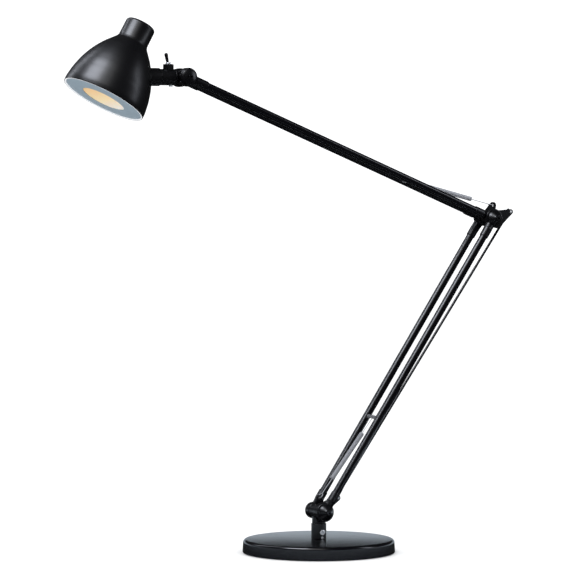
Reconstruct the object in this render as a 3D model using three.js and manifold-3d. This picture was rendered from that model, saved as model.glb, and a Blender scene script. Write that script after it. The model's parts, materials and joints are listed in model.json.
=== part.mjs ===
// A spring-balanced architect desk lamp with an LED head, in millimetres.
// +Z is up and the origin is the middle of the base, on the desk. The arms swing in the XZ plane, the head
// is towards -X, and "near" pieces lie on the -Y side of that plane, "far" pieces on the +Y side.
import * as THREE from "three";
import { mergeVertices } from "three/addons/utils/BufferGeometryUtils.js";
import Module from "manifold-3d";

const wasm = await Module();
wasm.setup();

// ---- Driving dimensions -------------------------------------------------------------------------------
const GAP = 0.3; // left between pieces that touch
const PAST = 1; // how far a cutting tool runs past what it cuts

const BASE = { radius: 115, height: 20, wall: 2, edge: 5, edgeSteps: 3, taper: 0.6, padHeight: 2, coverLift: 0.6 };
const POST = { radius: 11.4, top: 43.5, bore: 9.3, floor: 4, neck: 10.25, spigot: 6.7, flatsFrom: 46.4 };
const CLAMP = { z: 30.5, head: 4.2, shank: 3.7, headOut: 1.6, key: 4, grubZ: 22.4, grub: 1.9, grubIn: 6.4 };
const BOLT_HOLE = 4.4; // in the cover, the weight and the post's floor
const POST_BOLT = { radius: 4, headTop: 8.8, headBottom: 3, flats: 17, counterbore: 11.4, top: 23.9 };
const GLAND = { z: 9, inner: 104, body: 4, flange: 6, bore: 2.6 };

const FOOT_HINGE = new THREE.Vector3(0, 0, 61.7);
const LOWER_ARM = { length: 529.5, lean: 33.85, tubeY: 19.65 };
const UPPER_ARM = { length: 561.1, rise: 22, tubeY: 13.85 };
const TUBE = { radius: 5.75, wall: 1.1, inset: 21 };
const SLEEVE = { radius: 6.8, bore: 6.05, end: 34 };

// Hub faces are counted from the lamp's middle plane, out along Y.
const HUB = { lowerIn: 9.4, elbowLowerIn: 12.9, lowerOut: 22, near: 14.5, far: 12.4, upperIn: 4, upperOut: 12.2 };
const BARREL = { radius: 12.1, half: 7.6 };
const BOLT = { shank: 2.7, head: 3.75, headHeight: 3, bore: 3, end: 18.6, key: 3.6, seatDepth: 1.4 };
const CAP = { base: 12, tip: 5, length: 9.6 };

const PLATE = { thickness: 4, hub: 11, boss: 7, lug: 4.4, rivet: 2.4 };
const FOOT_LUGS = { spring: [0.7, 20], rod: [32, 18.5] };
const ELBOW_LUGS = { spring: [9.8, 19.6], rod: [41.5, 9.5], corner: [17, -10] };
const SPRING_HOLE = 2.2;
const LINK = { radius: 1.95, blade: 1.8, bladeLength: 24, planeY: 4.3, pin: 1.6, slot: 3.8, eye: 5.4 };

const SPRING = { outer: 3.6, bore: 2.85, wire: 0.7, ring: 4.2 };
const LOWER_SPRING = { crossbar: 167.5, lead: 31, coil: 84, barRadius: 2.15 };
const UPPER_SPRING = { crossbar: 155, lead: 24, coil: 94, barRadius: 2.15 };
const HOOK_INSIDE = 18; // how far a hook's straight end reaches into its coil

const HEAD_HUB = { radius: 13.8, inner: 7.9, outer: 19.2, dome: 4 };
const HEAD_BOLT = { headHeight: 2.6, end: 16, seatDepth: 1.2 };
const KNUCKLE = { radius: 11.4, half: 7.6, capX: -14.2, capThickness: 2.4, plug: 10, plugLength: 1.5 };
const NECK_TUBE = { radius: 12.05, bore: 10.4, right: -16.9, left: -39.9 }; // X is counted from the head hinge
const COLLAR = { radius: 13.25, bore: 11, left: -290, boreLeft: -276, notches: 12, notchDepth: 1.5, notchWidth: 2.2 };
const SWITCH = { x: -24.5, body: [12, 8, 12], nutFlats: 15, nutTop: 19, bushing: 4.4, pivot: 15.3, lean: 11.5 };
const LEAD = { x: -20.6, stem: 2, flange: 3.4, bottom: -8.6 };

const SHADE = { rim: new THREE.Vector3(-354.4, 0, 678.1), tilt: 29.07, wall: 1.2 };
// The shade's outside, from the rim up: distance along its axis, radius.
const SHADE_OUTSIDE = [
  [0, 63.5], [7, 63.7], [16, 62.5], [31, 59.5], [45.5, 55.4], [56, 51.5], [67, 45.6], [78.5, 37.6],
  [90, 27.8], [94.5, 24.4], [98.5, 22.9], [122, 22.7], [125, 21.6], [126.6, 18.8],
];
const SHADE_TOP = 127;
const TRIM = { radius: 60.4, hole: 33, at: 1.4, thickness: 1.4, flange: 2.2 };
const GASKET = { outer: 61.9, inner: 60.8, at: 0.8, thickness: 2.2 };
const DIFFUSER = { radius: 35.5, at: 3.1, thickness: 2 };
const LIGHT_CUP = { inner: 35, outer: 36.4, from: 5.5, to: 15.4 };
const LED_BOARD = { radius: 34, at: 15.8, thickness: 1.6 };
const MOUNT_RING = { inner: 39, outer: 60, at: 18.6, thickness: 1.6 };
const HEAT_SINK = { radius: 38.4, flange: 46, at: 17.8, thickness: 2.6, finTop: 42, fin: 1.6, pitch: 8, seat: 15 };
const HEAT_POST = 6; // radius of the post that carries the driver's seat
const DRIVER = { radius: 16, from: 72, to: 118 };
const NIPPLE = { radius: 4.5, bore: 3, left: -296, right: -262 };
const SHADE_NUT = { flats: 15, left: -290.2, right: -284.8 };

const SMALL = 12; // sides of pins and screws
const ROUND = 14; // sides of other round pieces
const HUB_SIDES = 20; // sides of hinge hubs and the pieces on the neck
const FINE = 36; // sides of the base and the shade
const SIDES = [["near", -1], ["far", 1]];

// ---- Materials ----------------------------------------------------------------------------------------
const paint = (color, roughness, metalness) => new THREE.MeshStandardMaterial({ color, roughness, metalness });
const MATERIALS = {
  black: paint(0x15161a, 0.32, 0.1),
  blackPlastic: paint(0x1a1b1e, 0.5, 0),
  castIron: paint(0x3a3a3c, 0.7, 0.6),
  rubber: paint(0x202022, 0.9, 0),
  chrome: paint(0xd4d6da, 0.15, 1),
  steel: paint(0xa2a5a9, 0.35, 1),
  aluminium: paint(0xb9bcc0, 0.4, 0.9),
  nylon: paint(0xd8d6cc, 0.6, 0),
  trim: paint(0x99a3ac, 0.45, 0.1),
  lip: paint(0xe9edf0, 0.5, 0),
  diffuser: paint(0xeedeba, 0.6, 0),
  board: paint(0xf2f2ee, 0.5, 0),
};

// ---- Shapes -------------------------------------------------------------------------------------------
const UP = new THREE.Vector3(0, 1, 0);
const Y_AXIS = new THREE.Vector3(0, 1, 0);
const Z_AXIS = new THREE.Vector3(0, 0, 1);
const at = (x, y, z) => new THREE.Vector3(x, y, z);
const radians = THREE.MathUtils.degToRad;

// A three.js geometry as a manifold solid that faces outwards.
function solidOf(geometry) {
  const bare = geometry.clone();
  bare.deleteAttribute("normal");
  bare.deleteAttribute("uv");
  const merged = mergeVertices(bare, 1e-4);
  const corners = [];
  const index = merged.index.array;
  for (let i = 0; i < index.length; i += 3) {
    const [a, b, c] = [index[i], index[i + 1], index[i + 2]];
    if (a !== b && b !== c && c !== a) corners.push(a, b, c);
  }
  const build = (list) =>
    new wasm.Manifold(
      new wasm.Mesh({
        numProp: 3,
        vertProperties: Float32Array.from(merged.attributes.position.array),
        triVerts: Uint32Array.from(list),
      }),
    );
  const made = build(corners);
  return made.volume() > 0 ? made : build(corners.reverse());
}

function geometryOf(solid) {
  const { vertProperties, triVerts, numProp, numVert } = solid.getMesh();
  const positions = new Float32Array(numVert * 3);
  for (let i = 0; i < numVert; i++) positions.set(vertProperties.subarray(i * numProp, i * numProp + 3), i * 3);
  const geometry = new THREE.BufferGeometry();
  geometry.setAttribute("position", new THREE.BufferAttribute(positions, 3));
  geometry.setIndex(new THREE.BufferAttribute(triVerts, 1));
  geometry.computeVertexNormals();
  return geometry;
}

const joined = (...solids) => solids.reduce((whole, solid) => whole.add(solid));
const without = (solid, ...tools) => tools.reduce((left, tool) => left.subtract(tool), solid);

// A profile of [distance along the axis, radius] turned round an axis; it starts and ends on the axis.
function turned(profile, origin, axis, sides = ROUND) {
  const points = profile.map(([along, radius]) => new THREE.Vector2(radius, along));
  const geometry = new THREE.LatheGeometry(points, sides);
  geometry.applyQuaternion(new THREE.Quaternion().setFromUnitVectors(UP, axis));
  return solidOf(geometry.translate(origin.x, origin.y, origin.z));
}

// A round bar from one point to another, tapered where the end radii differ.
function bar(from, to, radius, sides = ROUND, endRadius = radius) {
  const along = to.clone().sub(from);
  const geometry = new THREE.CylinderGeometry(endRadius, radius, along.length(), sides);
  geometry.applyQuaternion(new THREE.Quaternion().setFromUnitVectors(UP, along.clone().normalize()));
  const middle = from.clone().add(to).multiplyScalar(0.5);
  return solidOf(geometry.translate(middle.x, middle.y, middle.z));
}

function pipe(from, to, outer, inner, sides = ROUND) {
  const past = to.clone().sub(from).normalize().multiplyScalar(PAST);
  return bar(from, to, outer, sides).subtract(bar(from.clone().sub(past), to.clone().add(past), inner, sides));
}

function block(low, high) {
  const size = high.map((value, i) => value - low[i]);
  const middle = high.map((value, i) => (value + low[i]) / 2);
  return solidOf(new THREE.BoxGeometry(...size).translate(...middle));
}

// A bar along Y between two Y values, round the line through (x, z).
const crossBar = (x, z, fromY, toY, radius, sides = ROUND) => bar(at(x, fromY, z), at(x, toY, z), radius, sides);

// The strip that wraps two circles, in the XZ plane, centred on a Y value.
function strap([ax, az], ar, [bx, bz], br, thickness, middleY = 0) {
  const away = Math.atan2(bz - az, bx - ax);
  const spread = Math.acos((ar - br) / Math.hypot(bx - ax, bz - az));
  const outline = new THREE.Shape();
  outline.absarc(ax, az, ar, away + spread, away - spread + 2 * Math.PI, false);
  outline.absarc(bx, bz, br, away - spread, away + spread, false);
  const geometry = new THREE.ExtrudeGeometry(outline, { depth: thickness, bevelEnabled: false, curveSegments: 6 });
  geometry.rotateX(Math.PI / 2).translate(0, middleY + thickness / 2, 0);
  return solidOf(geometry);
}

function torus(centre, axis, radius, wire) {
  const geometry = new THREE.TorusGeometry(radius, wire, 6, SMALL);
  geometry.applyQuaternion(new THREE.Quaternion().setFromUnitVectors(Z_AXIS, axis));
  return solidOf(geometry.translate(centre.x, centre.y, centre.z));
}

// A hexagonal prism along an axis, measured across its flats.
function hexagon(from, to, flats) {
  return bar(from, to, flats / Math.sqrt(3), 6);
}

const lamp = new THREE.Group();
function add(name, material, solid) {
  const mesh = new THREE.Mesh(geometryOf(solid), MATERIALS[material]);
  mesh.name = name;
  lamp.add(mesh);
}

// ---- Base and post ------------------------------------------------------------------------------------
function addBase() {
  const { radius, height, wall, edge, edgeSteps, taper, padHeight, coverLift } = BASE;
  const corner = [];
  for (let step = 0; step <= edgeSteps; step++) {
    const turn = (step / edgeSteps) * (Math.PI / 2);
    corner.push([height - edge + edge * Math.sin(turn), radius - taper - edge + edge * Math.cos(turn)]);
  }
  const inside = radius - wall - taper;
  const cover = turned([
    [coverLift, inside], [coverLift, radius], ...corner, [height, BOLT_HOLE],
    [height - wall, BOLT_HOLE], [height - wall, inside - 3], [height - wall - 3, inside], [coverLift, inside],
  ], at(0, 0, 0), Z_AXIS, FINE);
  const glandHole = crossBar(0, GLAND.z, GLAND.inner - GAP, radius + PAST, GLAND.body + GAP);
  add("base_cover", "black", cover.subtract(glandHole));

  const weightTop = height - wall - GAP;
  const weight = [
    [padHeight + GAP, 0], [padHeight + GAP, inside - GAP], [weightTop - 3.5, inside - GAP],
    [weightTop, inside - 3.8], [weightTop, 0],
  ];
  add("base_weight", "castIron", without(
    turned(weight, at(0, 0, 0), Z_AXIS, FINE),
    bar(at(0, 0, 0), at(0, 0, POST_BOLT.headTop + GAP), POST_BOLT.counterbore),
    bar(at(0, 0, 0), at(0, 0, height), BOLT_HOLE),
    glandHole,
  ));
  add("base_pad", "rubber", turned(
    [[0, 0], [0, inside - 1], [padHeight, inside - GAP], [padHeight, 0]], at(0, 0, 0), Z_AXIS, FINE));
}

function addCordGland() {
  const outside = BASE.radius + GAP;
  const bush = joined(
    crossBar(0, GLAND.z, GLAND.inner, outside + 1, GLAND.body),
    crossBar(0, GLAND.z, outside, outside + 2.4, GLAND.flange),
  );
  add("cord_gland", "blackPlastic",
    bush.subtract(crossBar(0, GLAND.z, GLAND.inner - PAST, outside + 4, GLAND.bore)));
}

function addPost() {
  const { radius, top, bore, floor, neck, spigot } = POST;
  const foot = BASE.height + GAP;
  const socket = turned([[foot, 0], [foot, radius], [top - 0.8, radius], [top, radius - 0.8], [top, 0]],
    at(0, 0, 0), Z_AXIS);
  add("post_socket", "black", without(
    socket,
    bar(at(0, 0, foot + floor), at(0, 0, top + PAST), bore),
    bar(at(0, 0, foot - PAST), at(0, 0, foot + floor + PAST), BOLT_HOLE),
    crossBar(0, CLAMP.z, -radius - PAST, -bore + PAST, CLAMP.shank + GAP),
    crossBar(0, CLAMP.grubZ, -radius - PAST, -CLAMP.grubIn, CLAMP.grub + GAP),
  ));
  add("post_bolt", "steel", joined(
    hexagon(at(0, 0, POST_BOLT.headBottom), at(0, 0, POST_BOLT.headTop), POST_BOLT.flats),
    bar(at(0, 0, POST_BOLT.headTop - PAST), at(0, 0, POST_BOLT.top), POST_BOLT.radius),
  ));
  const bushFoot = foot + floor + GAP;
  add("post_bush", "nylon",
    pipe(at(0, 0, bushFoot), at(0, 0, top - 1), bore - GAP, spigot + GAP));
  const clamp = joined(
    crossBar(0, CLAMP.z, -radius - CLAMP.headOut, -radius - GAP, CLAMP.head),
    crossBar(0, CLAMP.z, -radius - 1, -bore - 0.1, CLAMP.shank),
  );
  const keyHole = hexagon(at(0, -radius - CLAMP.headOut - PAST, CLAMP.z), at(0, -radius + 0.4, CLAMP.z), CLAMP.key);
  add("clamp_screw", "chrome", clamp.subtract(keyHole));
  add("grub_screw", "chrome", crossBar(0, CLAMP.grubZ, -radius - 0.8, -CLAMP.grubIn, CLAMP.grub, SMALL));
  addFoot(bushFoot + GAP);
}

function addFoot(spigotFoot) {
  const { radius, top, neck, spigot } = POST;
  // The foot: the spigot that turns in the post, the neck, the hinge barrel and the two-lug link plate.
  const hingeZ = FOOT_HINGE.z;
  const stem = turned([
    [spigotFoot, 0], [spigotFoot, spigot], [top + GAP, spigot], [top + GAP, neck], [hingeZ, neck], [hingeZ, 0],
  ], at(0, 0, 0), Z_AXIS, HUB_SIDES);
  // Above the post the neck is flat on both sides, so that it stays inside the barrel's width.
  const flats = SIDES.map(([, sign]) => block(
    [-radius, Math.min(sign * (BARREL.half - 0.2), sign * radius), POST.flatsFrom],
    [radius, Math.max(sign * (BARREL.half - 0.2), sign * radius), hingeZ + PAST]));
  const lug = (x, z) => [x, hingeZ + z];
  const body = joined(
    without(stem, ...flats),
    crossBar(0, hingeZ, -BARREL.half, BARREL.half, BARREL.radius, HUB_SIDES),
    strap([0, hingeZ], BARREL.radius - 2, lug(...FOOT_LUGS.spring), PLATE.lug, PLATE.thickness),
    strap([2, hingeZ + 2], 9, lug(...FOOT_LUGS.rod), PLATE.lug, PLATE.thickness),
  );
  add("foot_bracket", "black", without(
    body,
    crossBar(0, hingeZ, -BARREL.half - PAST, BARREL.half + PAST, BOLT.bore),
    crossBar(...lug(...FOOT_LUGS.spring), -PLATE.thickness, PLATE.thickness, SPRING_HOLE, SMALL),
    crossBar(...lug(...FOOT_LUGS.rod), -PLATE.thickness, PLATE.thickness, LINK.pin + GAP, SMALL),
  ));
  for (const [side, sign] of SIDES) {
    add(`foot_washer_${side}`, "blackPlastic", pipe(
      at(0, sign * (BARREL.half + GAP), hingeZ), at(0, sign * (HUB.lowerIn - GAP), hingeZ),
      BARREL.radius - 0.3, BOLT.bore));
  }
  addRodPin("rod_pin_lower", ...lug(...FOOT_LUGS.rod));
}

// A rivet through a plate's lug and the link rod's blade, with a head on each side.
function addRodPin(name, x, z) {
  const bladeOut = LINK.planeY + LINK.blade / 2 + GAP;
  const plateOut = -PLATE.thickness / 2 - GAP;
  add(name, "steel", joined(
    crossBar(x, z, plateOut - 0.4, bladeOut + 0.4, LINK.pin, SMALL),
    crossBar(x, z, bladeOut, bladeOut + 1.3, name.endsWith("upper") ? LINK.slot + 0.9 : 3, SMALL),
    crossBar(x, z, plateOut - 0.9, plateOut, PLATE.rivet, SMALL),
  ));
}

// ---- Arms ---------------------------------------------------------------------------------------------
const lowerWay = at(Math.sin(radians(LOWER_ARM.lean)), 0, Math.cos(radians(LOWER_ARM.lean)));
const upperWay = at(-Math.cos(radians(UPPER_ARM.rise)), 0, Math.sin(radians(UPPER_ARM.rise)));
const ELBOW = FOOT_HINGE.clone().addScaledVector(lowerWay, LOWER_ARM.length);
const HEAD_HINGE = ELBOW.clone().addScaledVector(upperWay, UPPER_ARM.length);

// The cast end of an arm tube: a hub on the hinge, a sleeve round the tube and a tapered web between them.
function fitting(hinge, way, tubeY, hub) {
  const spot = (along, y) => hinge.clone().addScaledVector(way, along).setY(y);
  const sign = Math.sign(tubeY);
  const hubMiddle = (hub.inner + hub.outer) / 2;
  const hubSolid = crossBar(hinge.x, hinge.z, sign * hub.inner, sign * hub.outer, hub.radius, HUB_SIDES);
  const web = bar(spot(3, sign * hubMiddle), spot(TUBE.inset + 3, tubeY), hub.web, SMALL, SLEEVE.radius);
  const sleeve = bar(spot(TUBE.inset - 3, tubeY), spot(SLEEVE.end, tubeY), SLEEVE.radius, SMALL);
  let casting = joined(hubSolid, web, sleeve);
  casting = casting.subtract(bar(spot(TUBE.inset - 0.4, tubeY), spot(SLEEVE.end + PAST, tubeY), SLEEVE.bore, SMALL));
  // Nothing of the casting reaches past its hub's faces while it is beside the hinge.
  const clearance = HUB.near + 1.2;
  casting = casting.subtract(
    crossBar(hinge.x, hinge.z, sign * (hub.inner - 12), sign * hub.inner, clearance, HUB_SIDES));
  if (!hub.outsideRadius) return casting;
  return casting.subtract(
    crossBar(hinge.x, hinge.z, sign * hub.outer, sign * (hub.outer + 16), hub.outsideRadius, HUB_SIDES));
}

function addTube(name, hinge, way, tubeY, length) {
  const from = hinge.clone().addScaledVector(way, TUBE.inset).setY(tubeY);
  const to = hinge.clone().addScaledVector(way, length - TUBE.inset).setY(tubeY);
  add(name, "black", pipe(from, to, TUBE.radius, TUBE.radius - TUBE.wall, SMALL));
}

// The conical cap and its long socket-headed screw that clamp a hinge from the near side.
function addClamp(cap, bolt, hinge) {
  const face = HUB.lowerOut + GAP;
  const tip = face + CAP.length;
  const seat = tip - BOLT.seatDepth;
  const cone = turned([
    [face, 0], [face, CAP.base], [face + 1.2, CAP.base], [face + 4, CAP.base - 2.2], [tip - 1.2, CAP.tip + 0.4],
    [tip, CAP.tip - 0.4], [tip, 0],
  ], at(hinge.x, 0, hinge.z), at(0, -1, 0), HUB_SIDES);
  add(cap, "black", without(
    cone,
    crossBar(hinge.x, hinge.z, -face + PAST, -tip - PAST, BOLT.bore),
    crossBar(hinge.x, hinge.z, -seat, -tip - PAST, BOLT.head + GAP),
  ));
  const headOuter = seat + GAP + BOLT.headHeight;
  add(bolt, "steel", without(
    joined(
      crossBar(hinge.x, hinge.z, BOLT.end, -seat - 1, BOLT.shank, SMALL),
      crossBar(hinge.x, hinge.z, -seat - GAP, -headOuter, BOLT.head),
    ),
    hexagon(at(hinge.x, -headOuter - PAST, hinge.z), at(hinge.x, -headOuter + 1.8, hinge.z), BOLT.key),
  ));
}

function addLowerArm() {
  const { length, tubeY } = LOWER_ARM;
  const ends = [
    ["foot", FOOT_HINGE, lowerWay, HUB.lowerIn],
    ["elbow", ELBOW, lowerWay.clone().negate(), HUB.elbowLowerIn],
  ];
  for (const [side, sign] of SIDES) {
    for (const [end, hinge, way, inner] of ends) {
      const radius = sign < 0 ? HUB.near : HUB.far;
      const outsideRadius = sign < 0 ? CAP.base + 1 : 0;
      const hub = { inner, outer: HUB.lowerOut, radius, web: 7.4, outsideRadius };
      const casting = fitting(hinge, way, sign * tubeY, hub);
      const boreEnd = sign < 0 ? HUB.lowerOut + 6 : BOLT.end + GAP;
      add(`lower_${end}_fitting_${side}`, "black",
        casting.subtract(crossBar(hinge.x, hinge.z, sign * (inner - PAST), sign * boreEnd, BOLT.bore)));
    }
    addTube(`lower_tube_${side}`, FOOT_HINGE, lowerWay, sign * tubeY, length);
  }
  addClamp("foot_hinge_cap", "foot_hinge_bolt", FOOT_HINGE);
  addClamp("elbow_hinge_cap", "elbow_hinge_bolt", ELBOW);
  addCrossbar("lower_crossbar", FOOT_HINGE, lowerWay, LOWER_SPRING, tubeY);
}

// A pin between the two tubes of an arm, which its balance spring pulls on; it ends just short of each tube.
function addCrossbar(name, hinge, way, spring, tubeY) {
  const middle = hinge.clone().addScaledVector(way, spring.crossbar);
  const reach = tubeY - TUBE.radius - GAP;
  const post = crossBar(middle.x, middle.z, -reach, reach, spring.barRadius, SMALL);
  const collars = SIDES.map(([, sign]) =>
    crossBar(middle.x, middle.z, sign * (reach - 2.2), sign * reach, spring.barRadius + 1.2, SMALL));
  add(name, "steel", joined(post, ...collars));
}

function addUpperArm() {
  const { length, tubeY } = UPPER_ARM;
  for (const [side, sign] of SIDES) {
    const elbowHub = { inner: HUB.upperIn, outer: HUB.upperOut, radius: HUB.far, web: 6, outsideRadius: HUB.near + 1 };
    add(`upper_elbow_fitting_${side}`, "black",
      fitting(ELBOW, upperWay, sign * tubeY, elbowHub)
        .subtract(crossBar(ELBOW.x, ELBOW.z, sign * (HUB.upperIn - PAST), sign * (HUB.upperOut + PAST), BOLT.bore)));

    const { inner, outer, radius } = HEAD_HUB;
    const headHub = { inner, outer, radius, web: 7, outsideRadius: sign < 0 ? radius : 0 };
    const headEnd = fitting(HEAD_HINGE, upperWay.clone().negate(), sign * tubeY, headHub);
    const boreEnd = sign < 0 ? HEAD_HUB.outer + 6 : HEAD_BOLT.end + GAP;
    add(`upper_head_fitting_${side}`, "black", headEnd.subtract(
      crossBar(HEAD_HINGE.x, HEAD_HINGE.z, sign * (HEAD_HUB.inner - PAST), sign * boreEnd, BOLT.bore)));
    addTube(`upper_tube_${side}`, ELBOW, upperWay, sign * tubeY, length);
  }
  addCrossbar("upper_crossbar", ELBOW, upperWay, UPPER_SPRING, tubeY);

  const face = HEAD_HUB.outer + GAP;
  const tip = face + HEAD_HUB.dome;
  const { x, z } = HEAD_HINGE;
  const dome = turned([
    [face, 0], [face, HEAD_HUB.radius - 1.2], [face + 1.6, HEAD_HUB.radius - 2.6], [tip - 0.8, 7], [tip, 5], [tip, 0],
  ], at(x, 0, z), at(0, -1, 0), HUB_SIDES);
  add("head_hinge_cap", "black", without(
    dome,
    crossBar(x, z, -face + PAST, -tip - PAST, BOLT.bore),
    crossBar(x, z, -tip + HEAD_BOLT.seatDepth, -tip - PAST, BOLT.head + GAP),
  ));
  const head = tip - HEAD_BOLT.seatDepth + GAP;
  const headOuter = head + HEAD_BOLT.headHeight;
  add("head_hinge_bolt", "steel", without(
    joined(
      crossBar(x, z, HEAD_BOLT.end, -head - 1, BOLT.shank, SMALL),
      crossBar(x, z, -head, -headOuter, BOLT.head),
    ),
    hexagon(at(x, -headOuter - PAST, z), at(x, -head - 1, z), BOLT.key),
  ));
}

// ---- Levelling linkage --------------------------------------------------------------------------------
function addLinkage() {
  const lug = ([x, z]) => [ELBOW.x + x, ELBOW.z + z];
  const plate = joined(
    crossBar(ELBOW.x, ELBOW.z, -HUB.upperIn + GAP, HUB.upperIn - GAP, PLATE.boss),
    strap([ELBOW.x, ELBOW.z], PLATE.hub, lug(ELBOW_LUGS.spring), 5.2, PLATE.thickness),
    strap([ELBOW.x + 2, ELBOW.z + 1], 9.4, lug(ELBOW_LUGS.rod), PLATE.lug - 0.4, PLATE.thickness),
    strap([ELBOW.x, ELBOW.z], PLATE.hub, lug(ELBOW_LUGS.corner), 6, PLATE.thickness),
    strap(lug(ELBOW_LUGS.corner), 6, lug(ELBOW_LUGS.rod), PLATE.lug - 0.4, PLATE.thickness),
  );
  add("elbow_plate", "black", without(
    plate,
    crossBar(ELBOW.x, ELBOW.z, -HUB.upperIn, HUB.upperIn, BOLT.bore),
    crossBar(...lug(ELBOW_LUGS.spring), -PLATE.thickness, PLATE.thickness, SPRING_HOLE, SMALL),
    crossBar(...lug(ELBOW_LUGS.rod), -PLATE.thickness, PLATE.thickness, LINK.pin + GAP, SMALL),
  ));
  addRodPin("rod_pin_upper", ...lug(ELBOW_LUGS.rod));

  const low = [FOOT_HINGE.x + FOOT_LUGS.rod[0], FOOT_HINGE.z + FOOT_LUGS.rod[1]];
  const high = lug(ELBOW_LUGS.rod);
  const length = Math.hypot(high[0] - low[0], high[1] - low[1]);
  const way = [(high[0] - low[0]) / length, (high[1] - low[1]) / length];
  const along = (distance) => [low[0] + way[0] * distance, low[1] + way[1] * distance];
  const inPlane = ([x, z]) => at(x, LINK.planeY, z);
  const blade = LINK.bladeLength;
  const rod = joined(
    bar(inPlane(along(blade - 2)), inPlane(along(length - blade + 2)), LINK.radius, SMALL),
    strap(low, 3.6, along(blade), LINK.radius + 0.4, LINK.blade, LINK.planeY),
    strap(high, LINK.eye, along(length - blade), LINK.radius + 0.4, LINK.blade, LINK.planeY),
  );
  add("level_rod", "black", without(
    rod,
    crossBar(...low, LINK.planeY - 3, LINK.planeY + 3, LINK.pin + GAP, SMALL),
    crossBar(...high, LINK.planeY - 3, LINK.planeY + 3, LINK.slot, 20),
  ));
}

// ---- Balance springs ----------------------------------------------------------------------------------
// The coil is a plain tube of the winding's size, with a straight lead to a ring round the crossbar.
// The hook is the winding's other end: a ring through the plate's lug and a straight wire into the coil.
function addSpring(name, hinge, way, spring, lug) {
  const crossbar = hinge.clone().addScaledVector(way, spring.crossbar);
  const line = lug.clone().sub(crossbar);
  const length = line.length();
  line.normalize();
  const spot = (distance) => crossbar.clone().addScaledVector(line, distance);
  const eye = spring.barRadius + GAP + SPRING.wire;
  const coilStart = spring.lead;
  const coilEnd = spring.lead + spring.coil;
  const shoulder = turned([
    [coilStart - 5, 0], [coilStart - 5, SPRING.wire], [coilStart, SPRING.outer], [coilStart + 3, SPRING.outer],
    [coilStart + 3, 0],
  ], crossbar, line, SMALL);
  add(`${name}_coil`, "steel", joined(
    torus(crossbar, Y_AXIS, eye, SPRING.wire),
    bar(spot(eye), spot(coilStart), SPRING.wire, 8),
    shoulder,
    bar(spot(coilStart + 1), spot(coilEnd), SPRING.outer, SMALL)
      .subtract(bar(spot(coilStart + 3), spot(coilEnd + PAST), SPRING.bore, SMALL)),
  ));
  const ringAxis = new THREE.Vector3().crossVectors(line, Y_AXIS);
  const ringCentre = lug.clone().addScaledVector(line, -SPRING.ring);
  add(`${name}_hook`, "steel", joined(
    torus(ringCentre, ringAxis, SPRING.ring, SPRING.wire),
    bar(spot(length - 2 * SPRING.ring), spot(coilEnd - HOOK_INSIDE), SPRING.wire, 8),
  ));
}

function addSprings() {
  const footLug = at(FOOT_HINGE.x + FOOT_LUGS.spring[0], 0, FOOT_HINGE.z + FOOT_LUGS.spring[1]);
  const elbowLug = at(ELBOW.x + ELBOW_LUGS.spring[0], 0, ELBOW.z + ELBOW_LUGS.spring[1]);
  addSpring("lower_spring", FOOT_HINGE, lowerWay, LOWER_SPRING, footLug);
  addSpring("upper_spring", ELBOW, upperWay, UPPER_SPRING, elbowLug);
}

// ---- Head joint and switch ----------------------------------------------------------------------------
function addHeadJoint() {
  const { x, z } = HEAD_HINGE;
  const capRight = x + KNUCKLE.capX;
  const capLeft = capRight - KNUCKLE.capThickness;
  const knuckle = joined(
    crossBar(x, z, -KNUCKLE.half, KNUCKLE.half, KNUCKLE.radius, HUB_SIDES),
    block([capRight - 1, -KNUCKLE.half, z - 8.5], [x, KNUCKLE.half, z + 8.5]),
    bar(at(capLeft, 0, z), at(capRight, 0, z), NECK_TUBE.radius, HUB_SIDES),
    bar(at(capLeft - KNUCKLE.plugLength, 0, z), at(capLeft + 1, 0, z), KNUCKLE.plug, HUB_SIDES),
  );
  add("head_knuckle", "black", without(
    knuckle,
    crossBar(x, z, -KNUCKLE.half - PAST, KNUCKLE.half + PAST, BOLT.bore),
  ));
  const tubeLeft = x + NECK_TUBE.left;
  const tubeRight = x + NECK_TUBE.right;
  const switchX = x + SWITCH.x;
  add("neck_tube", "black", without(
    pipe(at(tubeLeft, 0, z), at(tubeRight, 0, z), NECK_TUBE.radius, NECK_TUBE.bore, HUB_SIDES),
    bar(at(switchX, 0, z), at(switchX, 0, z + 20), SWITCH.bushing + GAP),
    bar(at(x + LEAD.x, 0, z), at(x + LEAD.x, 0, z - 20), LEAD.stem + GAP, SMALL),
  ));
  // A clear bush where the lead leaves the tube below the hinge.
  add("lead_grommet", "nylon", joined(
    bar(at(x + LEAD.x, 0, z + LEAD.bottom), at(x + LEAD.x, 0, z - NECK_TUBE.radius - 1), LEAD.stem, SMALL),
    turned([[0, 0], [0, LEAD.flange], [1, LEAD.flange - 0.3], [2, LEAD.flange - 1.8], [2.4, 0]],
      at(x + LEAD.x, 0, z - NECK_TUBE.radius - GAP), at(0, 0, -1), SMALL),
  ));
  addSwitch(switchX, z);
}

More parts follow.
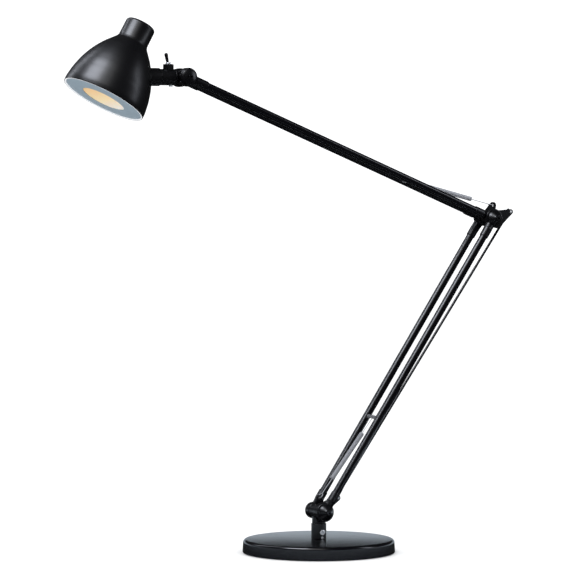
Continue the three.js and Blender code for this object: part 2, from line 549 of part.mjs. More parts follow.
function addSwitch(x, z) {
  const [length, width, depth] = SWITCH.body;
  const bodyTop = z + 6.4;
  add("switch_body", "blackPlastic",
    block([x - length / 2, -width / 2, bodyTop - depth], [x + length / 2, width / 2, bodyTop]));
  const nutTop = z + SWITCH.nutTop;
  const bushingFoot = bodyTop + GAP;
  const pivot = z + SWITCH.pivot;
  const bushingTop = nutTop + 2.6;
  add("switch_bushing", "chrome", turned([
    [bushingFoot, 0], [bushingFoot, SWITCH.bushing], [bushingTop - 1.6, SWITCH.bushing],
    [bushingTop, SWITCH.bushing - 1], [bushingTop, 3.9], [pivot - 3, 2.7], [pivot - 3, 0],
  ], at(x, 0, 0), Z_AXIS));
  add("switch_nut", "blackPlastic", without(
    hexagon(at(x, 0, z + NECK_TUBE.radius - 2.6), at(x, 0, nutTop), SWITCH.nutFlats),
    bar(at(x, 0, z), at(x, 0, nutTop + PAST), SWITCH.bushing + GAP),
    bar(at(x - 20, 0, z), at(x + 20, 0, z), NECK_TUBE.radius + GAP, HUB_SIDES),
  ));
  const lean = at(-Math.sin(radians(SWITCH.lean)), 0, Math.cos(radians(SWITCH.lean)));
  add("switch_lever", "blackPlastic", turned([
    [-2, 0], [-1.6, 1.4], [0, 2.1], [1.6, 2], [6, 2.1], [9, 2.2], [18, 2.7], [19.6, 2.2], [20.3, 1.2], [20.5, 0],
  ], at(x, 0, pivot), lean, ROUND));
}

// ---- Shade and light ----------------------------------------------------------------------------------
const shadeAxis = at(Math.sin(radians(SHADE.tilt)), 0, Math.cos(radians(SHADE.tilt)));
const inShade = (profile, sides = FINE) => turned(profile, SHADE.rim, shadeAxis, sides);
const disc = (from, thickness, radius, sides = FINE) =>
  inShade([[from, 0], [from, radius], [from + thickness, radius], [from + thickness, 0]], sides);
const annulus = (from, thickness, inner, outer, sides = FINE) => inShade([
  [from, inner], [from, outer], [from + thickness, outer], [from + thickness, inner], [from, inner],
], sides);
const shadeLine = (along) => SHADE.rim.clone().addScaledVector(shadeAxis, along);

function addShade() {
  const { z } = HEAD_HINGE;
  // The inside follows every second point of the bowl, and every point of the neck.
  const inside = SHADE_OUTSIDE.filter(([along], i) => along > 80 || i % 2 === 0)
    .map(([along, radius]) => [along - (along > 110 ? SHADE.wall : 0), radius - SHADE.wall]);
  const insideTop = SHADE_TOP - SHADE.wall;
  const shell = inShade([...SHADE_OUTSIDE, [SHADE_TOP, 16], [SHADE_TOP, 0], [insideTop, 0], ...inside.reverse(),
    SHADE_OUTSIDE[0]]);
  const nippleHole = bar(at(NIPPLE.left - 4, 0, z), at(NIPPLE.right + 2, 0, z), NIPPLE.radius + GAP);
  add("shade_shell", "black", shell.subtract(nippleHole));

  // The collar is shaped to the shade's wall and has a toothed rim where it turns against the neck tube.
  const grown = SHADE_OUTSIDE.map(([along, radius]) => [along, radius + GAP]);
  const shadeBulk = inShade([[0, 0], ...grown, [SHADE_TOP, 16], [SHADE_TOP, 0]]);
  const collarRight = HEAD_HINGE.x + NECK_TUBE.left - GAP;
  const teeth = [];
  for (let i = 0; i < COLLAR.notches; i++) {
    const turn = (i / COLLAR.notches) * 2 * Math.PI;
    const notch = new THREE.BoxGeometry(2 * COLLAR.notchDepth, COLLAR.notchWidth, 4);
    notch.translate(0, 0, COLLAR.radius).rotateX(turn).translate(collarRight, 0, z);
    teeth.push(solidOf(notch));
  }
  add("shade_collar", "black", without(
    bar(at(COLLAR.left, 0, z), at(collarRight, 0, z), COLLAR.radius, HUB_SIDES),
    shadeBulk,
    bar(at(COLLAR.boreLeft, 0, z), at(collarRight + PAST, 0, z), COLLAR.bore, HUB_SIDES),
    bar(at(COLLAR.left - PAST, 0, z), at(collarRight + PAST, 0, z), NIPPLE.radius + GAP),
    ...teeth,
  ));
  add("shade_nipple", "steel", pipe(at(NIPPLE.left, 0, z), at(NIPPLE.right, 0, z), NIPPLE.radius, NIPPLE.bore));
  add("shade_nut", "steel", without(
    hexagon(at(SHADE_NUT.left, 0, z), at(SHADE_NUT.right, 0, z), SHADE_NUT.flats),
    bar(at(SHADE_NUT.left - PAST, 0, z), at(SHADE_NUT.right + PAST, 0, z), NIPPLE.radius + GAP),
  ));
}

function addLight() {
  const trimBack = TRIM.at + TRIM.flange;
  add("trim_plate", "trim", inShade([
    [TRIM.at, TRIM.hole], [TRIM.at, TRIM.radius], [trimBack, TRIM.radius - 0.6], [trimBack, TRIM.radius - 2],
    [TRIM.at + TRIM.thickness, TRIM.radius - 1.4], [TRIM.at + TRIM.thickness, TRIM.hole], [TRIM.at, TRIM.hole],
  ]));
  add("trim_gasket", "lip", annulus(GASKET.at, GASKET.thickness, GASKET.inner, GASKET.outer));
  add("diffuser", "diffuser", disc(DIFFUSER.at, DIFFUSER.thickness, DIFFUSER.radius, FINE));
  add("light_cup", "board",
    annulus(LIGHT_CUP.from, LIGHT_CUP.to - LIGHT_CUP.from, LIGHT_CUP.inner, LIGHT_CUP.outer, HUB_SIDES));
  add("led_board", "board", disc(LED_BOARD.at, LED_BOARD.thickness, LED_BOARD.radius, HUB_SIDES));
  add("mount_ring", "steel",
    annulus(MOUNT_RING.at, MOUNT_RING.thickness, MOUNT_RING.inner, MOUNT_RING.outer, FINE));

  const { radius, flange, at: foot, thickness, finTop, fin, pitch, seat } = HEAT_SINK;
  const flangeFoot = MOUNT_RING.at + MOUNT_RING.thickness + GAP;
  const seatTop = DRIVER.from - GAP;
  const rows = Math.floor(30 / pitch);
  const fins = [];
  for (let row = -rows; row <= rows; row++) {
    const reach = Math.sqrt(34 ** 2 - (row * pitch) ** 2);
    const plate = new THREE.BoxGeometry(2 * reach, fin, finTop - foot - 1);
    plate.translate(0, row * pitch, (finTop + foot + 1) / 2).rotateY(radians(SHADE.tilt));
    fins.push(solidOf(plate.translate(SHADE.rim.x, 0, SHADE.rim.z)));
  }
  add("heat_sink", "aluminium", joined(
    disc(foot, flangeFoot + 2 - foot, radius, HUB_SIDES),
    disc(flangeFoot, 2, flange, HUB_SIDES),
    ...fins,
    bar(shadeLine(foot + thickness), shadeLine(seatTop - 1), HEAT_POST, SMALL),
    disc(seatTop - 2, 2, seat, ROUND),
  ));
  add("led_driver", "blackPlastic", disc(DRIVER.from, DRIVER.to - DRIVER.from, DRIVER.radius, ROUND));
}

addBase();
addCordGland();
addPost();
addLowerArm();
addUpperArm();
addLinkage();
addSprings();
addHeadJoint();
addShade();
addLight();

export default lamp;
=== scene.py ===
# %% [markdown]
# # A spring-balanced desk lamp
#
# The lamp is a round weighted base, two pairs of steel tubes balanced by thin springs, and an enamelled
# shade with an LED light in it. Its sizes, joints and bodies come from a finished CAD model. This file
# gives that model its looks: smooth rounded shapes in place of the plain CAD ones, and a finish on each.

# %% Load the fixed frame
import json
import math

import bmesh
import bpy
from mathutils import Matrix, Vector


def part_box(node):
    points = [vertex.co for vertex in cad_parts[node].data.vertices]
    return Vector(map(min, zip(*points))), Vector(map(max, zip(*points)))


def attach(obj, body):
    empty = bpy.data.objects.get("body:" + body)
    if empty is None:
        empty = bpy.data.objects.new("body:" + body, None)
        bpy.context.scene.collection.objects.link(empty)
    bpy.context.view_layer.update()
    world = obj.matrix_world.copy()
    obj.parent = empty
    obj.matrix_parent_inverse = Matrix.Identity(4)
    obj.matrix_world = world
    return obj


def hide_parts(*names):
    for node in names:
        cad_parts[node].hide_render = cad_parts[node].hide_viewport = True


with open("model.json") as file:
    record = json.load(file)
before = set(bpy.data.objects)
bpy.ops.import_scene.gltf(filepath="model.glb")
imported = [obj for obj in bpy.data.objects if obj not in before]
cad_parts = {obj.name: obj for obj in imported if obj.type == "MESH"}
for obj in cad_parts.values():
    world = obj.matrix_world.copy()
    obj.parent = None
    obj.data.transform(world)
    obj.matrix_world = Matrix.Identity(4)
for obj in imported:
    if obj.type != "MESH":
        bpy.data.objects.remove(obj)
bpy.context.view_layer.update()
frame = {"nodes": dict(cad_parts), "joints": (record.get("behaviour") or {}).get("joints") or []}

MM = 0.001
joint_at = {joint["name"]: Vector(joint["pos_m"]) for joint in frame["joints"]}
FOOT = joint_at["lower_arm_tilt"]
ELBOW = joint_at["upper_arm_tilt"]
HEAD = joint_at["head_tilt"]
print("hinges at", FOOT, ELBOW, HEAD)

# %% [markdown]
# ## Camera
#
# A lamp is usually drawn with a long lens from a few metres away, so that its upright and its arms keep
# their proportions. The camera stands near desk height and looks at the lamp from the front left.

# %% Camera
CAMERA_AT = Vector((-2.2784, -4.2727, 0.5804))
CAMERA_LOOKS_AT = Vector((-0.0383, 0.0204, 0.3954))
camera = bpy.data.objects.new("camera", bpy.data.cameras.new("camera"))
camera.data.lens = 200
camera.data.sensor_width = 36
camera.location = CAMERA_AT
camera.rotation_mode = "QUATERNION"
camera.rotation_quaternion = (CAMERA_LOOKS_AT - CAMERA_AT).to_track_quat("-Z", "Y")
bpy.context.scene.collection.objects.link(camera)
bpy.context.scene.camera = camera

# %% [markdown]
# ## Shapes that are turned
#
# Most of this lamp was made on a lathe or spun from sheet, so its pieces are a profile turned round an
# axis. A real edge is never perfectly sharp, and it is the small rounding that catches the light. So one
# helper rounds the corners of a profile, and another turns the profile into a closed mesh.


# %% Turned shapes
def soften(profile, radius, steps=4):
    """Rounds each corner of a profile of (along, radius) points, apart from its two ends."""
    points = [Vector(p) for p in profile]
    closed = (points[0] - points[-1]).length < 1e-6
    if closed:
        points = points[:-1]
    count = len(points)
    made = []
    for i, corner in enumerate(points):
        if not closed and i in (0, count - 1):
            made.append(tuple(corner))
            continue
        back, ahead = points[i - 1] - corner, points[(i + 1) % count] - corner
        reach = min(radius, 0.45 * back.length, 0.45 * ahead.length)
        start, end = corner + back.normalized() * reach, corner + ahead.normalized() * reach
        for step in range(steps + 1):
            t = step / steps
            made.append(tuple(start * (1 - t) ** 2 + corner * 2 * t * (1 - t) + end * t ** 2))
    if closed:
        made.append(made[0])
    return made


def frame_along(origin, axis, side=Vector((0, 1, 0))):
    """A matrix whose Z runs along axis and whose Y is as close as it can be to side."""
    z = Vector(axis).normalized()
    if abs(z.dot(side)) > 0.99:
        side = Vector((1, 0, 0))
    x = side.cross(z).normalized()
    y = z.cross(x)
    return Matrix.Translation(Vector(origin)) @ Matrix((x, y, z)).transposed().to_4x4()


def object_from(name, bm, material=None, sharp=35):
    """A new object from a bmesh, facing out, with smooth shading between its sharp edges."""
    if bm.calc_volume(signed=True) < 0:
        bmesh.ops.reverse_faces(bm, faces=bm.faces)
    mesh = bpy.data.meshes.new(name)
    bm.to_mesh(mesh)
    bm.free()
    mesh.shade_smooth()
    mesh.set_sharp_from_angle(angle=math.radians(sharp))
    made = bpy.data.objects.new(name, mesh)
    bpy.context.scene.collection.objects.link(made)
    if material:
        mesh.materials.append(material)
    return made


def turned(name, profile, origin, axis, material=None, sides=96, sharp=35):
    """A profile of (along, radius) in millimetres turned round an axis through a point in metres."""
    bm = bmesh.new()
    loops = []
    closed = profile[0] == profile[-1] and profile[0][1] > 1e-6
    place = frame_along(origin, axis)
    for along, radius in (profile[:-1] if closed else profile):
        if radius < 1e-6:
            loops.append([bm.verts.new(place @ Vector((0, 0, along * MM)))])
            continue
        ring = []
        for side in range(sides):
            turn = 2 * math.pi * side / sides
            spot = Vector((radius * math.cos(turn), radius * math.sin(turn), along)) * MM
            ring.append(bm.verts.new(place @ spot))
        loops.append(ring)
    pairs = list(zip(loops, loops[1:]))
    if closed:
        pairs.append((loops[-1], loops[0]))
    for low, high in pairs:
        for side in range(sides):
            after = (side + 1) % sides
            corners = [low[side % len(low)], low[after % len(low)]]
            corners += [high[after % len(high)], high[side % len(high)]]
            face = [v for i, v in enumerate(corners) if v not in corners[:i]]
            if len(face) > 2:
                bm.faces.new(face)
    return object_from(name, bm, material, sharp)


def tube_profile(low, high, outer, inner):
    return [(low, inner), (low, outer), (high, outer), (high, inner), (low, inner)]


def solid_profile(low, high, radius):
    return [(low, 0), (low, radius), (high, radius), (high, 0)]


# %% [markdown]
# ## Castings and cut pieces
#
# The hinge fittings are zinc castings: hubs, webs and sleeves that flow into each other with a fillet.
# Modelling each fillet by hand is slow. Here the plain shapes are laid over each other, remeshed into one
# skin, and relaxed a little, which rounds every inside and outside corner as a foundry would. What is
# machined afterwards, such as a bore, is cut with a Boolean, so it stays crisp.


# %% Castings, cuts and straps
def applied(obj):
    """Replaces an object's mesh by what its modifiers make of it."""
    graph = bpy.context.evaluated_depsgraph_get()
    mesh = bpy.data.meshes.new_from_object(obj.evaluated_get(graph))
    obj.modifiers.clear()
    old = obj.data
    obj.data = mesh
    mesh.name = obj.name
    bpy.data.meshes.remove(old)
    return obj


def joined(name, *objects):
    """One object that holds the meshes of several, which go away."""
    bm = bmesh.new()
    for obj in objects:
        bm.from_mesh(obj.data)
    materials = list(objects[0].data.materials)
    for obj in objects:
        bpy.data.objects.remove(obj)
    mesh = bpy.data.meshes.new(name)
    bm.to_mesh(mesh)
    bm.free()
    for material in materials:
        mesh.materials.append(material)
    made = bpy.data.objects.new(name, mesh)
    bpy.context.scene.collection.objects.link(made)
    return made


def cut(obj, *cutters):
    """Takes the cutters out of an object, and removes them."""
    for cutter in cutters:
        modifier = obj.modifiers.new("cut", "BOOLEAN")
        modifier.operation = "DIFFERENCE"
        modifier.solver = "EXACT"
        modifier.object = cutter
        applied(obj)
        bpy.data.objects.remove(cutter)
    obj.data.shade_smooth()
    obj.data.set_sharp_from_angle(angle=math.radians(35))
    return obj


def cast(name, parts, material, cutters=(), voxel=0.45, relax=6):
    """Joins overlapping shapes in one skin with rounded corners, then machines it."""
    made = joined(name, *parts)
    remesh = made.modifiers.new("skin", "REMESH")
    remesh.mode = "VOXEL"
    remesh.voxel_size = voxel * MM
    smooth = made.modifiers.new("relax", "SMOOTH")
    smooth.factor = 0.5
    smooth.iterations = relax
    applied(made)
    made.data.materials.clear()
    made.data.materials.append(material)
    made.data.shade_smooth()
    if cutters:
        cut(made, *cutters)
    return made


def cross_pin(hinge, low_y, high_y, radius, sides=64):
    """A plain round bar along Y through a point; Y values are in millimetres."""
    return turned("pin", solid_profile(low_y, high_y, radius), (hinge.x, 0, hinge.z), (0, 1, 0), sides=sides)


def block(low, high):
    """A box between two corners in millimetres."""
    bm = bmesh.new()
    bmesh.ops.create_cube(bm, size=1)
    size = Vector(high) - Vector(low)
    middle = (Vector(high) + Vector(low)) / 2
    bm.transform(Matrix.Translation(middle * MM) @ Matrix.Diagonal((*(size * MM), 1)))
    return object_from("block", bm)


def strap(a, a_radius, b, b_radius, thickness):
    """A flat strap round two circles in the XZ plane; centres in metres, sizes in millimetres."""
    away = math.atan2(b.z - a.z, b.x - a.x)
    apart = math.hypot(b.x - a.x, b.z - a.z) / MM
    spread = math.acos((a_radius - b_radius) / apart)
    outline = []
    arcs = (
        (a, a_radius, away + spread, away - spread + 2 * math.pi),
        (b, b_radius, away - spread, away + spread),
    )
    for centre, radius, start, end in arcs:
        for step in range(33):
            turn = start + (end - start) * step / 32
            outline.append((centre.x + radius * MM * math.cos(turn), centre.z + radius * MM * math.sin(turn)))
    bm = bmesh.new()
    rings = []
    for side in (-0.5, 0.5):
        y = side * thickness * MM
        rings.append([bm.verts.new((x, y, z)) for x, z in outline])
    bm.faces.new(rings[0])
    bm.faces.new(rings[1][::-1])
    for i in range(len(outline)):
        after = (i + 1) % len(outline)
        bm.faces.new((rings[0][i], rings[1][i], rings[1][after], rings[0][after]))
    return object_from("strap", bm)


# %% [markdown]
# ## Finishes
#
# Every finish is made from noise in the piece's own coordinates. A fine noise bends the surface by some
# thousandths of a millimetre, as paint does, and a coarse one makes the gloss a little uneven. Cast iron and
# rubber are rougher.
# Values that are the same all over a surface are set on the shader's own sockets.


# %% Finish helper
def finish(name, color, roughness, *, metal=0.0, uneven=0.05, grain=400.0, bump=0.05, depth=0.05, shift=0.06,
           coat=0.0, coat_roughness=0.1, stretch=(1, 1, 1)):
    """A Principled material: color, gloss that varies by uneven, and a bump of the given depth in mm."""
    material = bpy.data.materials.new(name)
    material.use_nodes = True
    nodes, links = material.node_tree.nodes, material.node_tree.links
    shader = nodes["Principled BSDF"]
    shader.inputs["Metallic"].default_value = metal
    shader.inputs["Coat Weight"].default_value = coat
    shader.inputs["Coat Roughness"].default_value = coat_roughness
    place = nodes.new("ShaderNodeTexCoord")
    scale = nodes.new("ShaderNodeMapping")
    scale.inputs["Scale"].default_value = stretch
    links.new(place.outputs["Object"], scale.inputs["Vector"])
    cloud = nodes.new("ShaderNodeTexNoise")
    cloud.inputs["Scale"].default_value = grain / 12
    cloud.inputs["Detail"].default_value = 3
    links.new(scale.outputs["Vector"], cloud.inputs["Vector"])
    gloss = nodes.new("ShaderNodeMapRange")
    gloss.inputs["To Min"].default_value = max(0.02, roughness - uneven)
    gloss.inputs["To Max"].default_value = roughness + uneven
    links.new(cloud.outputs["Fac"], gloss.inputs["Value"])
    links.new(gloss.outputs["Result"], shader.inputs["Roughness"])
    tint = nodes.new("ShaderNodeMix")
    tint.data_type = "RGBA"
    tint.inputs["A"].default_value = (*[c * (1 - shift) for c in color], 1)
    tint.inputs["B"].default_value = (*[min(1, c * (1 + shift)) for c in color], 1)
    links.new(cloud.outputs["Fac"], tint.inputs["Factor"])
    links.new(tint.outputs["Result"], shader.inputs["Base Color"])
    fine = nodes.new("ShaderNodeTexNoise")
    fine.inputs["Scale"].default_value = grain
    fine.inputs["Detail"].default_value = 2
    links.new(scale.outputs["Vector"], fine.inputs["Vector"])
    relief = nodes.new("ShaderNodeBump")
    relief.inputs["Strength"].default_value = bump
    relief.inputs["Distance"].default_value = depth * MM
    links.new(fine.outputs["Fac"], relief.inputs["Height"])
    links.new(relief.outputs["Normal"], shader.inputs["Normal"])
    return material


# %% The finishes of the lamp
enamel = finish("black_enamel", (0.0012, 0.0012, 0.0028), 0.36, uneven=0.02, grain=700, bump=0.1,
                depth=0.008)
enamel_base = finish("black_enamel_base", (0.0012, 0.0013, 0.003), 0.2, uneven=0.01, grain=300,
                     bump=0.01, depth=0.001)
powder_coat = finish("black_powder_coat", (0.0011, 0.0011, 0.0026), 0.32, uneven=0.03, grain=1500, bump=0.03,
                     depth=0.004)
tube_paint = finish("black_tube_paint", (0.001, 0.001, 0.0024), 0.22, uneven=0.02, grain=900, bump=0.01,
                    depth=0.001)
black_plastic = finish("black_plastic", (0.0025, 0.0025, 0.0035), 0.38, grain=2500, bump=0.25, depth=0.02)
black_oxide = finish("black_oxide_steel", (0.03, 0.03, 0.034), 0.28, metal=0.9, uneven=0.06, grain=1500,
                     bump=0.15, depth=0.01)
cast_iron = finish("cast_iron", (0.06, 0.058, 0.056), 0.7, metal=0.6, uneven=0.1, grain=900, bump=0.8,
                   depth=0.3)
rubber = finish("rubber", (0.02, 0.02, 0.021), 0.75, uneven=0.08, grain=1800, bump=0.6, depth=0.1)
# Chrome, zinc plate and spring wire are only partly metallic: their grey diffuse colour is painted
# reflection, standing in for the bright room that their mirror part does not see.
chrome = finish("chrome", (0.72, 0.74, 0.78), 0.16, metal=0.7, uneven=0.03, grain=900, bump=0.05, depth=0.01)
zinc = finish("zinc_plate", (0.16, 0.165, 0.18), 0.4, metal=0.4, uneven=0.08, grain=1400, bump=0.1,
              depth=0.01)
spring_wire = finish("spring_wire", (0.34, 0.35, 0.38), 0.45, metal=0.25, uneven=0.06, grain=1600,
                     depth=0.005)
aluminium = finish("aluminium", (0.6, 0.61, 0.63), 0.38, metal=1, grain=500, bump=0.2, stretch=(1, 1, 12))
nylon = finish("nylon", (0.72, 0.7, 0.64), 0.5, grain=1000, bump=0.2)
clear_plastic = finish("clear_plastic", (0.7, 0.74, 0.78), 0.12, grain=600, bump=0.1, coat=0.6)
clear_plastic.node_tree.nodes["Principled BSDF"].inputs["Transmission Weight"].default_value = 0.35
trim_paint = finish("blue_grey_trim", (0.26, 0.33, 0.385), 0.4, uneven=0.05, grain=900, bump=0.2, depth=0.04)
white_lip = finish("white_lip", (0.9, 0.91, 0.93), 0.35, grain=900, bump=0.1)
white_board = finish("white_board", (0.84, 0.84, 0.82), 0.45, grain=900, bump=0.1)
print(len(bpy.data.materials), "finishes")

# %% [markdown]
# The diffuser is opal plastic with warm LEDs behind it. Its colour is painted light: a glow that is more
# orange towards the outer side of the shade and nearly white at the other side, following the position
# across the disc. A little subsurface light softens it, and a weak emission in the same colours paints that
# glow.

# %% Opal diffuser finish with a painted glow
opal = finish("opal_diffuser", (0.86, 0.76, 0.55), 0.35, uneven=0.04, grain=500, bump=0.1)
low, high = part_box("diffuser")


def painted_glow_across(material, low_x, high_x):
    """Paints a glow on the opal, as base and emission colour, from warm orange at low_x to nearly white at
    high_x.
    """
    nodes, links = material.node_tree.nodes, material.node_tree.links
    shader = nodes["Principled BSDF"]
    axes = nodes.new("ShaderNodeSeparateXYZ")
    links.new(nodes["Texture Coordinate"].outputs["Object"], axes.inputs["Vector"])
    across = nodes.new("ShaderNodeMapRange")
    across.inputs["From Min"].default_value = low_x
    across.inputs["From Max"].default_value = high_x
    links.new(axes.outputs["X"], across.inputs["Value"])
    ramp = nodes.new("ShaderNodeValToRGB")
    ramp.color_ramp.elements[0].color = (0.62, 0.4, 0.19, 1)
    ramp.color_ramp.elements[1].color = (0.62, 0.6, 0.6, 1)
    middle = ramp.color_ramp.elements.new(0.5)
    middle.color = (0.68, 0.54, 0.33, 1)
    links.new(across.outputs["Result"], ramp.inputs["Fac"])
    # Painted glow: the same warm-to-white ramp sets the base colour and the emission colour of the disc.
    links.new(ramp.outputs["Color"], shader.inputs["Base Color"])
    links.new(ramp.outputs["Color"], shader.inputs["Emission Color"])
    shader.inputs["Emission Strength"].default_value = 0.35
    shader.inputs["Subsurface Weight"].default_value = 0.2
    shader.inputs["Subsurface Scale"].default_value = 0.003


painted_glow_across(opal, low.x, high.x)

# %% [markdown]
# ## Node trees for what repeats
#
# Springs, tubes and rings of teeth follow a rule, so Geometry Nodes make them. Each tree has named
# inputs. The helper finds an input by its name, sets it, turns the result into a plain mesh and moves it
# to its place. Every tree ends in Realize Instances and Set Material.


# %% A helper to build trees and to use them
def new_tree(name, inputs):
    """A geometry node tree with the given (name, kind) inputs, and its group input and output."""
    tree = bpy.data.node_groups.new(name, "GeometryNodeTree")
    for label, kind in inputs:
        tree.interface.new_socket(label, in_out="INPUT", socket_type="NodeSocket" + kind)
    tree.interface.new_socket("Geometry", in_out="OUTPUT", socket_type="NodeSocketGeometry")
    return tree, tree.nodes.new("NodeGroupInput"), tree.nodes.new("NodeGroupOutput")


def close_tree(tree, given, result, shape):
    """Ends a tree: real instances, a material, smooth shading."""
    real = tree.nodes.new("GeometryNodeRealizeInstances")
    paint = tree.nodes.new("GeometryNodeSetMaterial")
    tree.links.new(shape, real.inputs["Geometry"])
    tree.links.new(real.outputs["Geometry"], paint.inputs["Geometry"])
    tree.links.new(given.outputs["Material"], paint.inputs["Material"])
    tree.links.new(paint.outputs["Geometry"], result.inputs["Geometry"])


def made_by(tree, name, place, **values):
    """Runs a tree with its inputs set by name, and keeps the result as a plain mesh at its place."""
    made = bpy.data.objects.new(name, bpy.data.meshes.new(name))
    bpy.context.scene.collection.objects.link(made)
    modifier = made.modifiers.new(tree.name, "NODES")
    modifier.node_group = tree
    for item in tree.interface.items_tree:
        if item.in_out == "INPUT" and item.name in values:
            modifier[item.identifier] = values.pop(item.name)
    assert not values, f"{tree.name} has no input named {sorted(values)}"
    applied(made)
    made.data.transform(place)
    made.data.shade_smooth()
    made.data.set_sharp_from_angle(angle=math.radians(35))
    return made


# %% Curves, sections and sums that the trees share
def raised(tree, height):
    """A vector that points up by the height that a socket gives."""
    point = tree.nodes.new("ShaderNodeCombineXYZ")
    tree.links.new(height, point.inputs["Z"])
    return point.outputs["Vector"]


def straight(tree, start, end):
    """A straight curve up the Z axis, between the heights that two sockets give."""
    line = tree.nodes.new("GeometryNodeCurvePrimitiveLine")
    tree.links.new(raised(tree, start), line.inputs["Start"])
    tree.links.new(raised(tree, end), line.inputs["End"])
    return line.outputs["Curve"]


def circle(tree, resolution, radius):
    made = tree.nodes.new("GeometryNodeCurvePrimitiveCircle")
    made.inputs["Resolution"].default_value = resolution
    tree.links.new(radius, made.inputs["Radius"])
    return made.outputs["Curve"]


def moved(tree, curve, height=None, turn=(0, 0, 0)):
    """A curve turned by fixed angles and raised by the height that a socket gives."""
    move = tree.nodes.new("GeometryNodeTransform")
    move.inputs["Rotation"].default_value = turn
    tree.links.new(curve, move.inputs["Geometry"])
    if height is not None:
        tree.links.new(raised(tree, height), move.inputs["Translation"])
    return move.outputs["Geometry"]


def swept(tree, curve, section, capped=True):
    skin = tree.nodes.new("GeometryNodeCurveToMesh")
    skin.inputs["Fill Caps"].default_value = capped
    tree.links.new(curve, skin.inputs["Curve"])
    tree.links.new(section, skin.inputs["Profile Curve"])
    return skin.outputs["Mesh"]


def sum_node(tree, operation, first):
    """A Math node whose first value comes from a socket."""
    node = tree.nodes.new("ShaderNodeMath")
    node.operation = operation
    tree.links.new(first, node.inputs[0])
    return node


# %% Tree: a tube along a straight line
def tube_tree():
    tree, given, result = new_tree("straight_tube", [
        ("From", "Float"), ("To", "Float"), ("Radius", "Float"), ("Wall", "Float"), ("Material", "Material")])
    line = straight(tree, given.outputs["From"], given.outputs["To"])
    inner = sum_node(tree, "SUBTRACT", given.outputs["Radius"])
    tree.links.new(given.outputs["Wall"], inner.inputs[1])
    outside = swept(tree, line, circle(tree, 48, given.outputs["Radius"]), capped=False)
    bore = swept(tree, line, circle(tree, 48, inner.outputs["Value"]), capped=False)
    turned_in = tree.nodes.new("GeometryNodeFlipFaces")
    tree.links.new(bore, turned_in.inputs["Mesh"])
    skins = tree.nodes.new("GeometryNodeJoinGeometry")
    tree.links.new(outside, skins.inputs["Geometry"])
    tree.links.new(turned_in.outputs["Mesh"], skins.inputs["Geometry"])
    close_tree(tree, given, result, skins.outputs["Geometry"])
    return tree


# %% Tree: a close-wound coil with a tapered end and a straight lead
CLOSING_RISE = 0.0022


def coil_tree():
    tree, given, result = new_tree("wound_coil", [
        ("Lead", "Float"), ("Length", "Float"), ("Radius", "Float"), ("Wire", "Float"), ("Turns", "Float"),
        ("Eye", "Float"), ("Material", "Material")])
    nodes, links = tree.nodes, tree.links
    wire = circle(tree, 8, given.outputs["Wire"])
    winding = nodes.new("GeometryNodeCurveSpiral")
    winding.inputs["Resolution"].default_value = 20
    links.new(given.outputs["Turns"], winding.inputs["Rotations"])
    links.new(given.outputs["Radius"], winding.inputs["Start Radius"])
    links.new(given.outputs["Radius"], winding.inputs["End Radius"])
    links.new(given.outputs["Length"], winding.inputs["Height"])

    # The last turn closes in from the winding's radius to its middle, where the lead starts.
    closing = nodes.new("GeometryNodeCurveSpiral")
    closing.inputs["Resolution"].default_value = 24
    closing.inputs["Rotations"].default_value = 1
    closing.inputs["Start Radius"].default_value = 0.0001
    closing.inputs["Height"].default_value = CLOSING_RISE
    links.new(given.outputs["Radius"], closing.inputs["End Radius"])
    under = sum_node(tree, "SUBTRACT", given.outputs["Lead"])
    under.inputs[1].default_value = CLOSING_RISE
    lead_top = under.outputs["Value"]

    parts = nodes.new("GeometryNodeJoinGeometry")
    for curve in (
        moved(tree, winding.outputs["Curve"], given.outputs["Lead"]),
        moved(tree, closing.outputs["Curve"], lead_top),
        straight(tree, given.outputs["Eye"], lead_top),
        moved(tree, circle(tree, 32, given.outputs["Eye"]), turn=(math.pi / 2, 0, 0)),
    ):
        links.new(swept(tree, curve, wire), parts.inputs["Geometry"])
    close_tree(tree, given, result, parts.outputs["Geometry"])
    return tree


# %% Tree: a hook, which is a ring through the plate's lug and a straight wire
def hook_tree():
    tree, given, result = new_tree("spring_hook", [
        ("Ring", "Float"), ("Reach", "Float"), ("Wire", "Float"), ("Material", "Material")])
    wire = circle(tree, 12, given.outputs["Wire"])
    ring = moved(tree, circle(tree, 40, given.outputs["Ring"]), given.outputs["Ring"], (0, math.pi / 2, 0))
    twice = sum_node(tree, "MULTIPLY", given.outputs["Ring"])
    twice.inputs[1].default_value = 2
    shank = straight(tree, twice.outputs["Value"], given.outputs["Reach"])
    parts = tree.nodes.new("GeometryNodeJoinGeometry")
    for curve in (ring, shank):
        tree.links.new(swept(tree, curve, wire), parts.inputs["Geometry"])
    close_tree(tree, given, result, parts.outputs["Geometry"])
    return tree


# %% Tree: blocks spaced round a circle
def ring_of_blocks_tree():
    tree, given, result = new_tree("ring_of_blocks", [
        ("Count", "Int"), ("Radius", "Float"), ("Size", "Vector"), ("Material", "Material")])
    nodes, links = tree.nodes, tree.links
    spots = nodes.new("GeometryNodeMeshCircle")
    links.new(given.outputs["Count"], spots.inputs["Vertices"])
    links.new(given.outputs["Radius"], spots.inputs["Radius"])
    block = nodes.new("GeometryNodeMeshCube")
    links.new(given.outputs["Size"], block.inputs["Size"])
    position = nodes.new("GeometryNodeInputPosition")
    outward = nodes.new("FunctionNodeAlignEulerToVector")
    outward.axis = "X"
    outward.pivot_axis = "Z"
    links.new(position.outputs["Position"], outward.inputs["Vector"])
    copies = nodes.new("GeometryNodeInstanceOnPoints")
    links.new(spots.outputs["Mesh"], copies.inputs["Points"])
    links.new(block.outputs["Mesh"], copies.inputs["Instance"])
    links.new(outward.outputs["Rotation"], copies.inputs["Rotation"])
    close_tree(tree, given, result, copies.outputs["Instances"])
    return tree


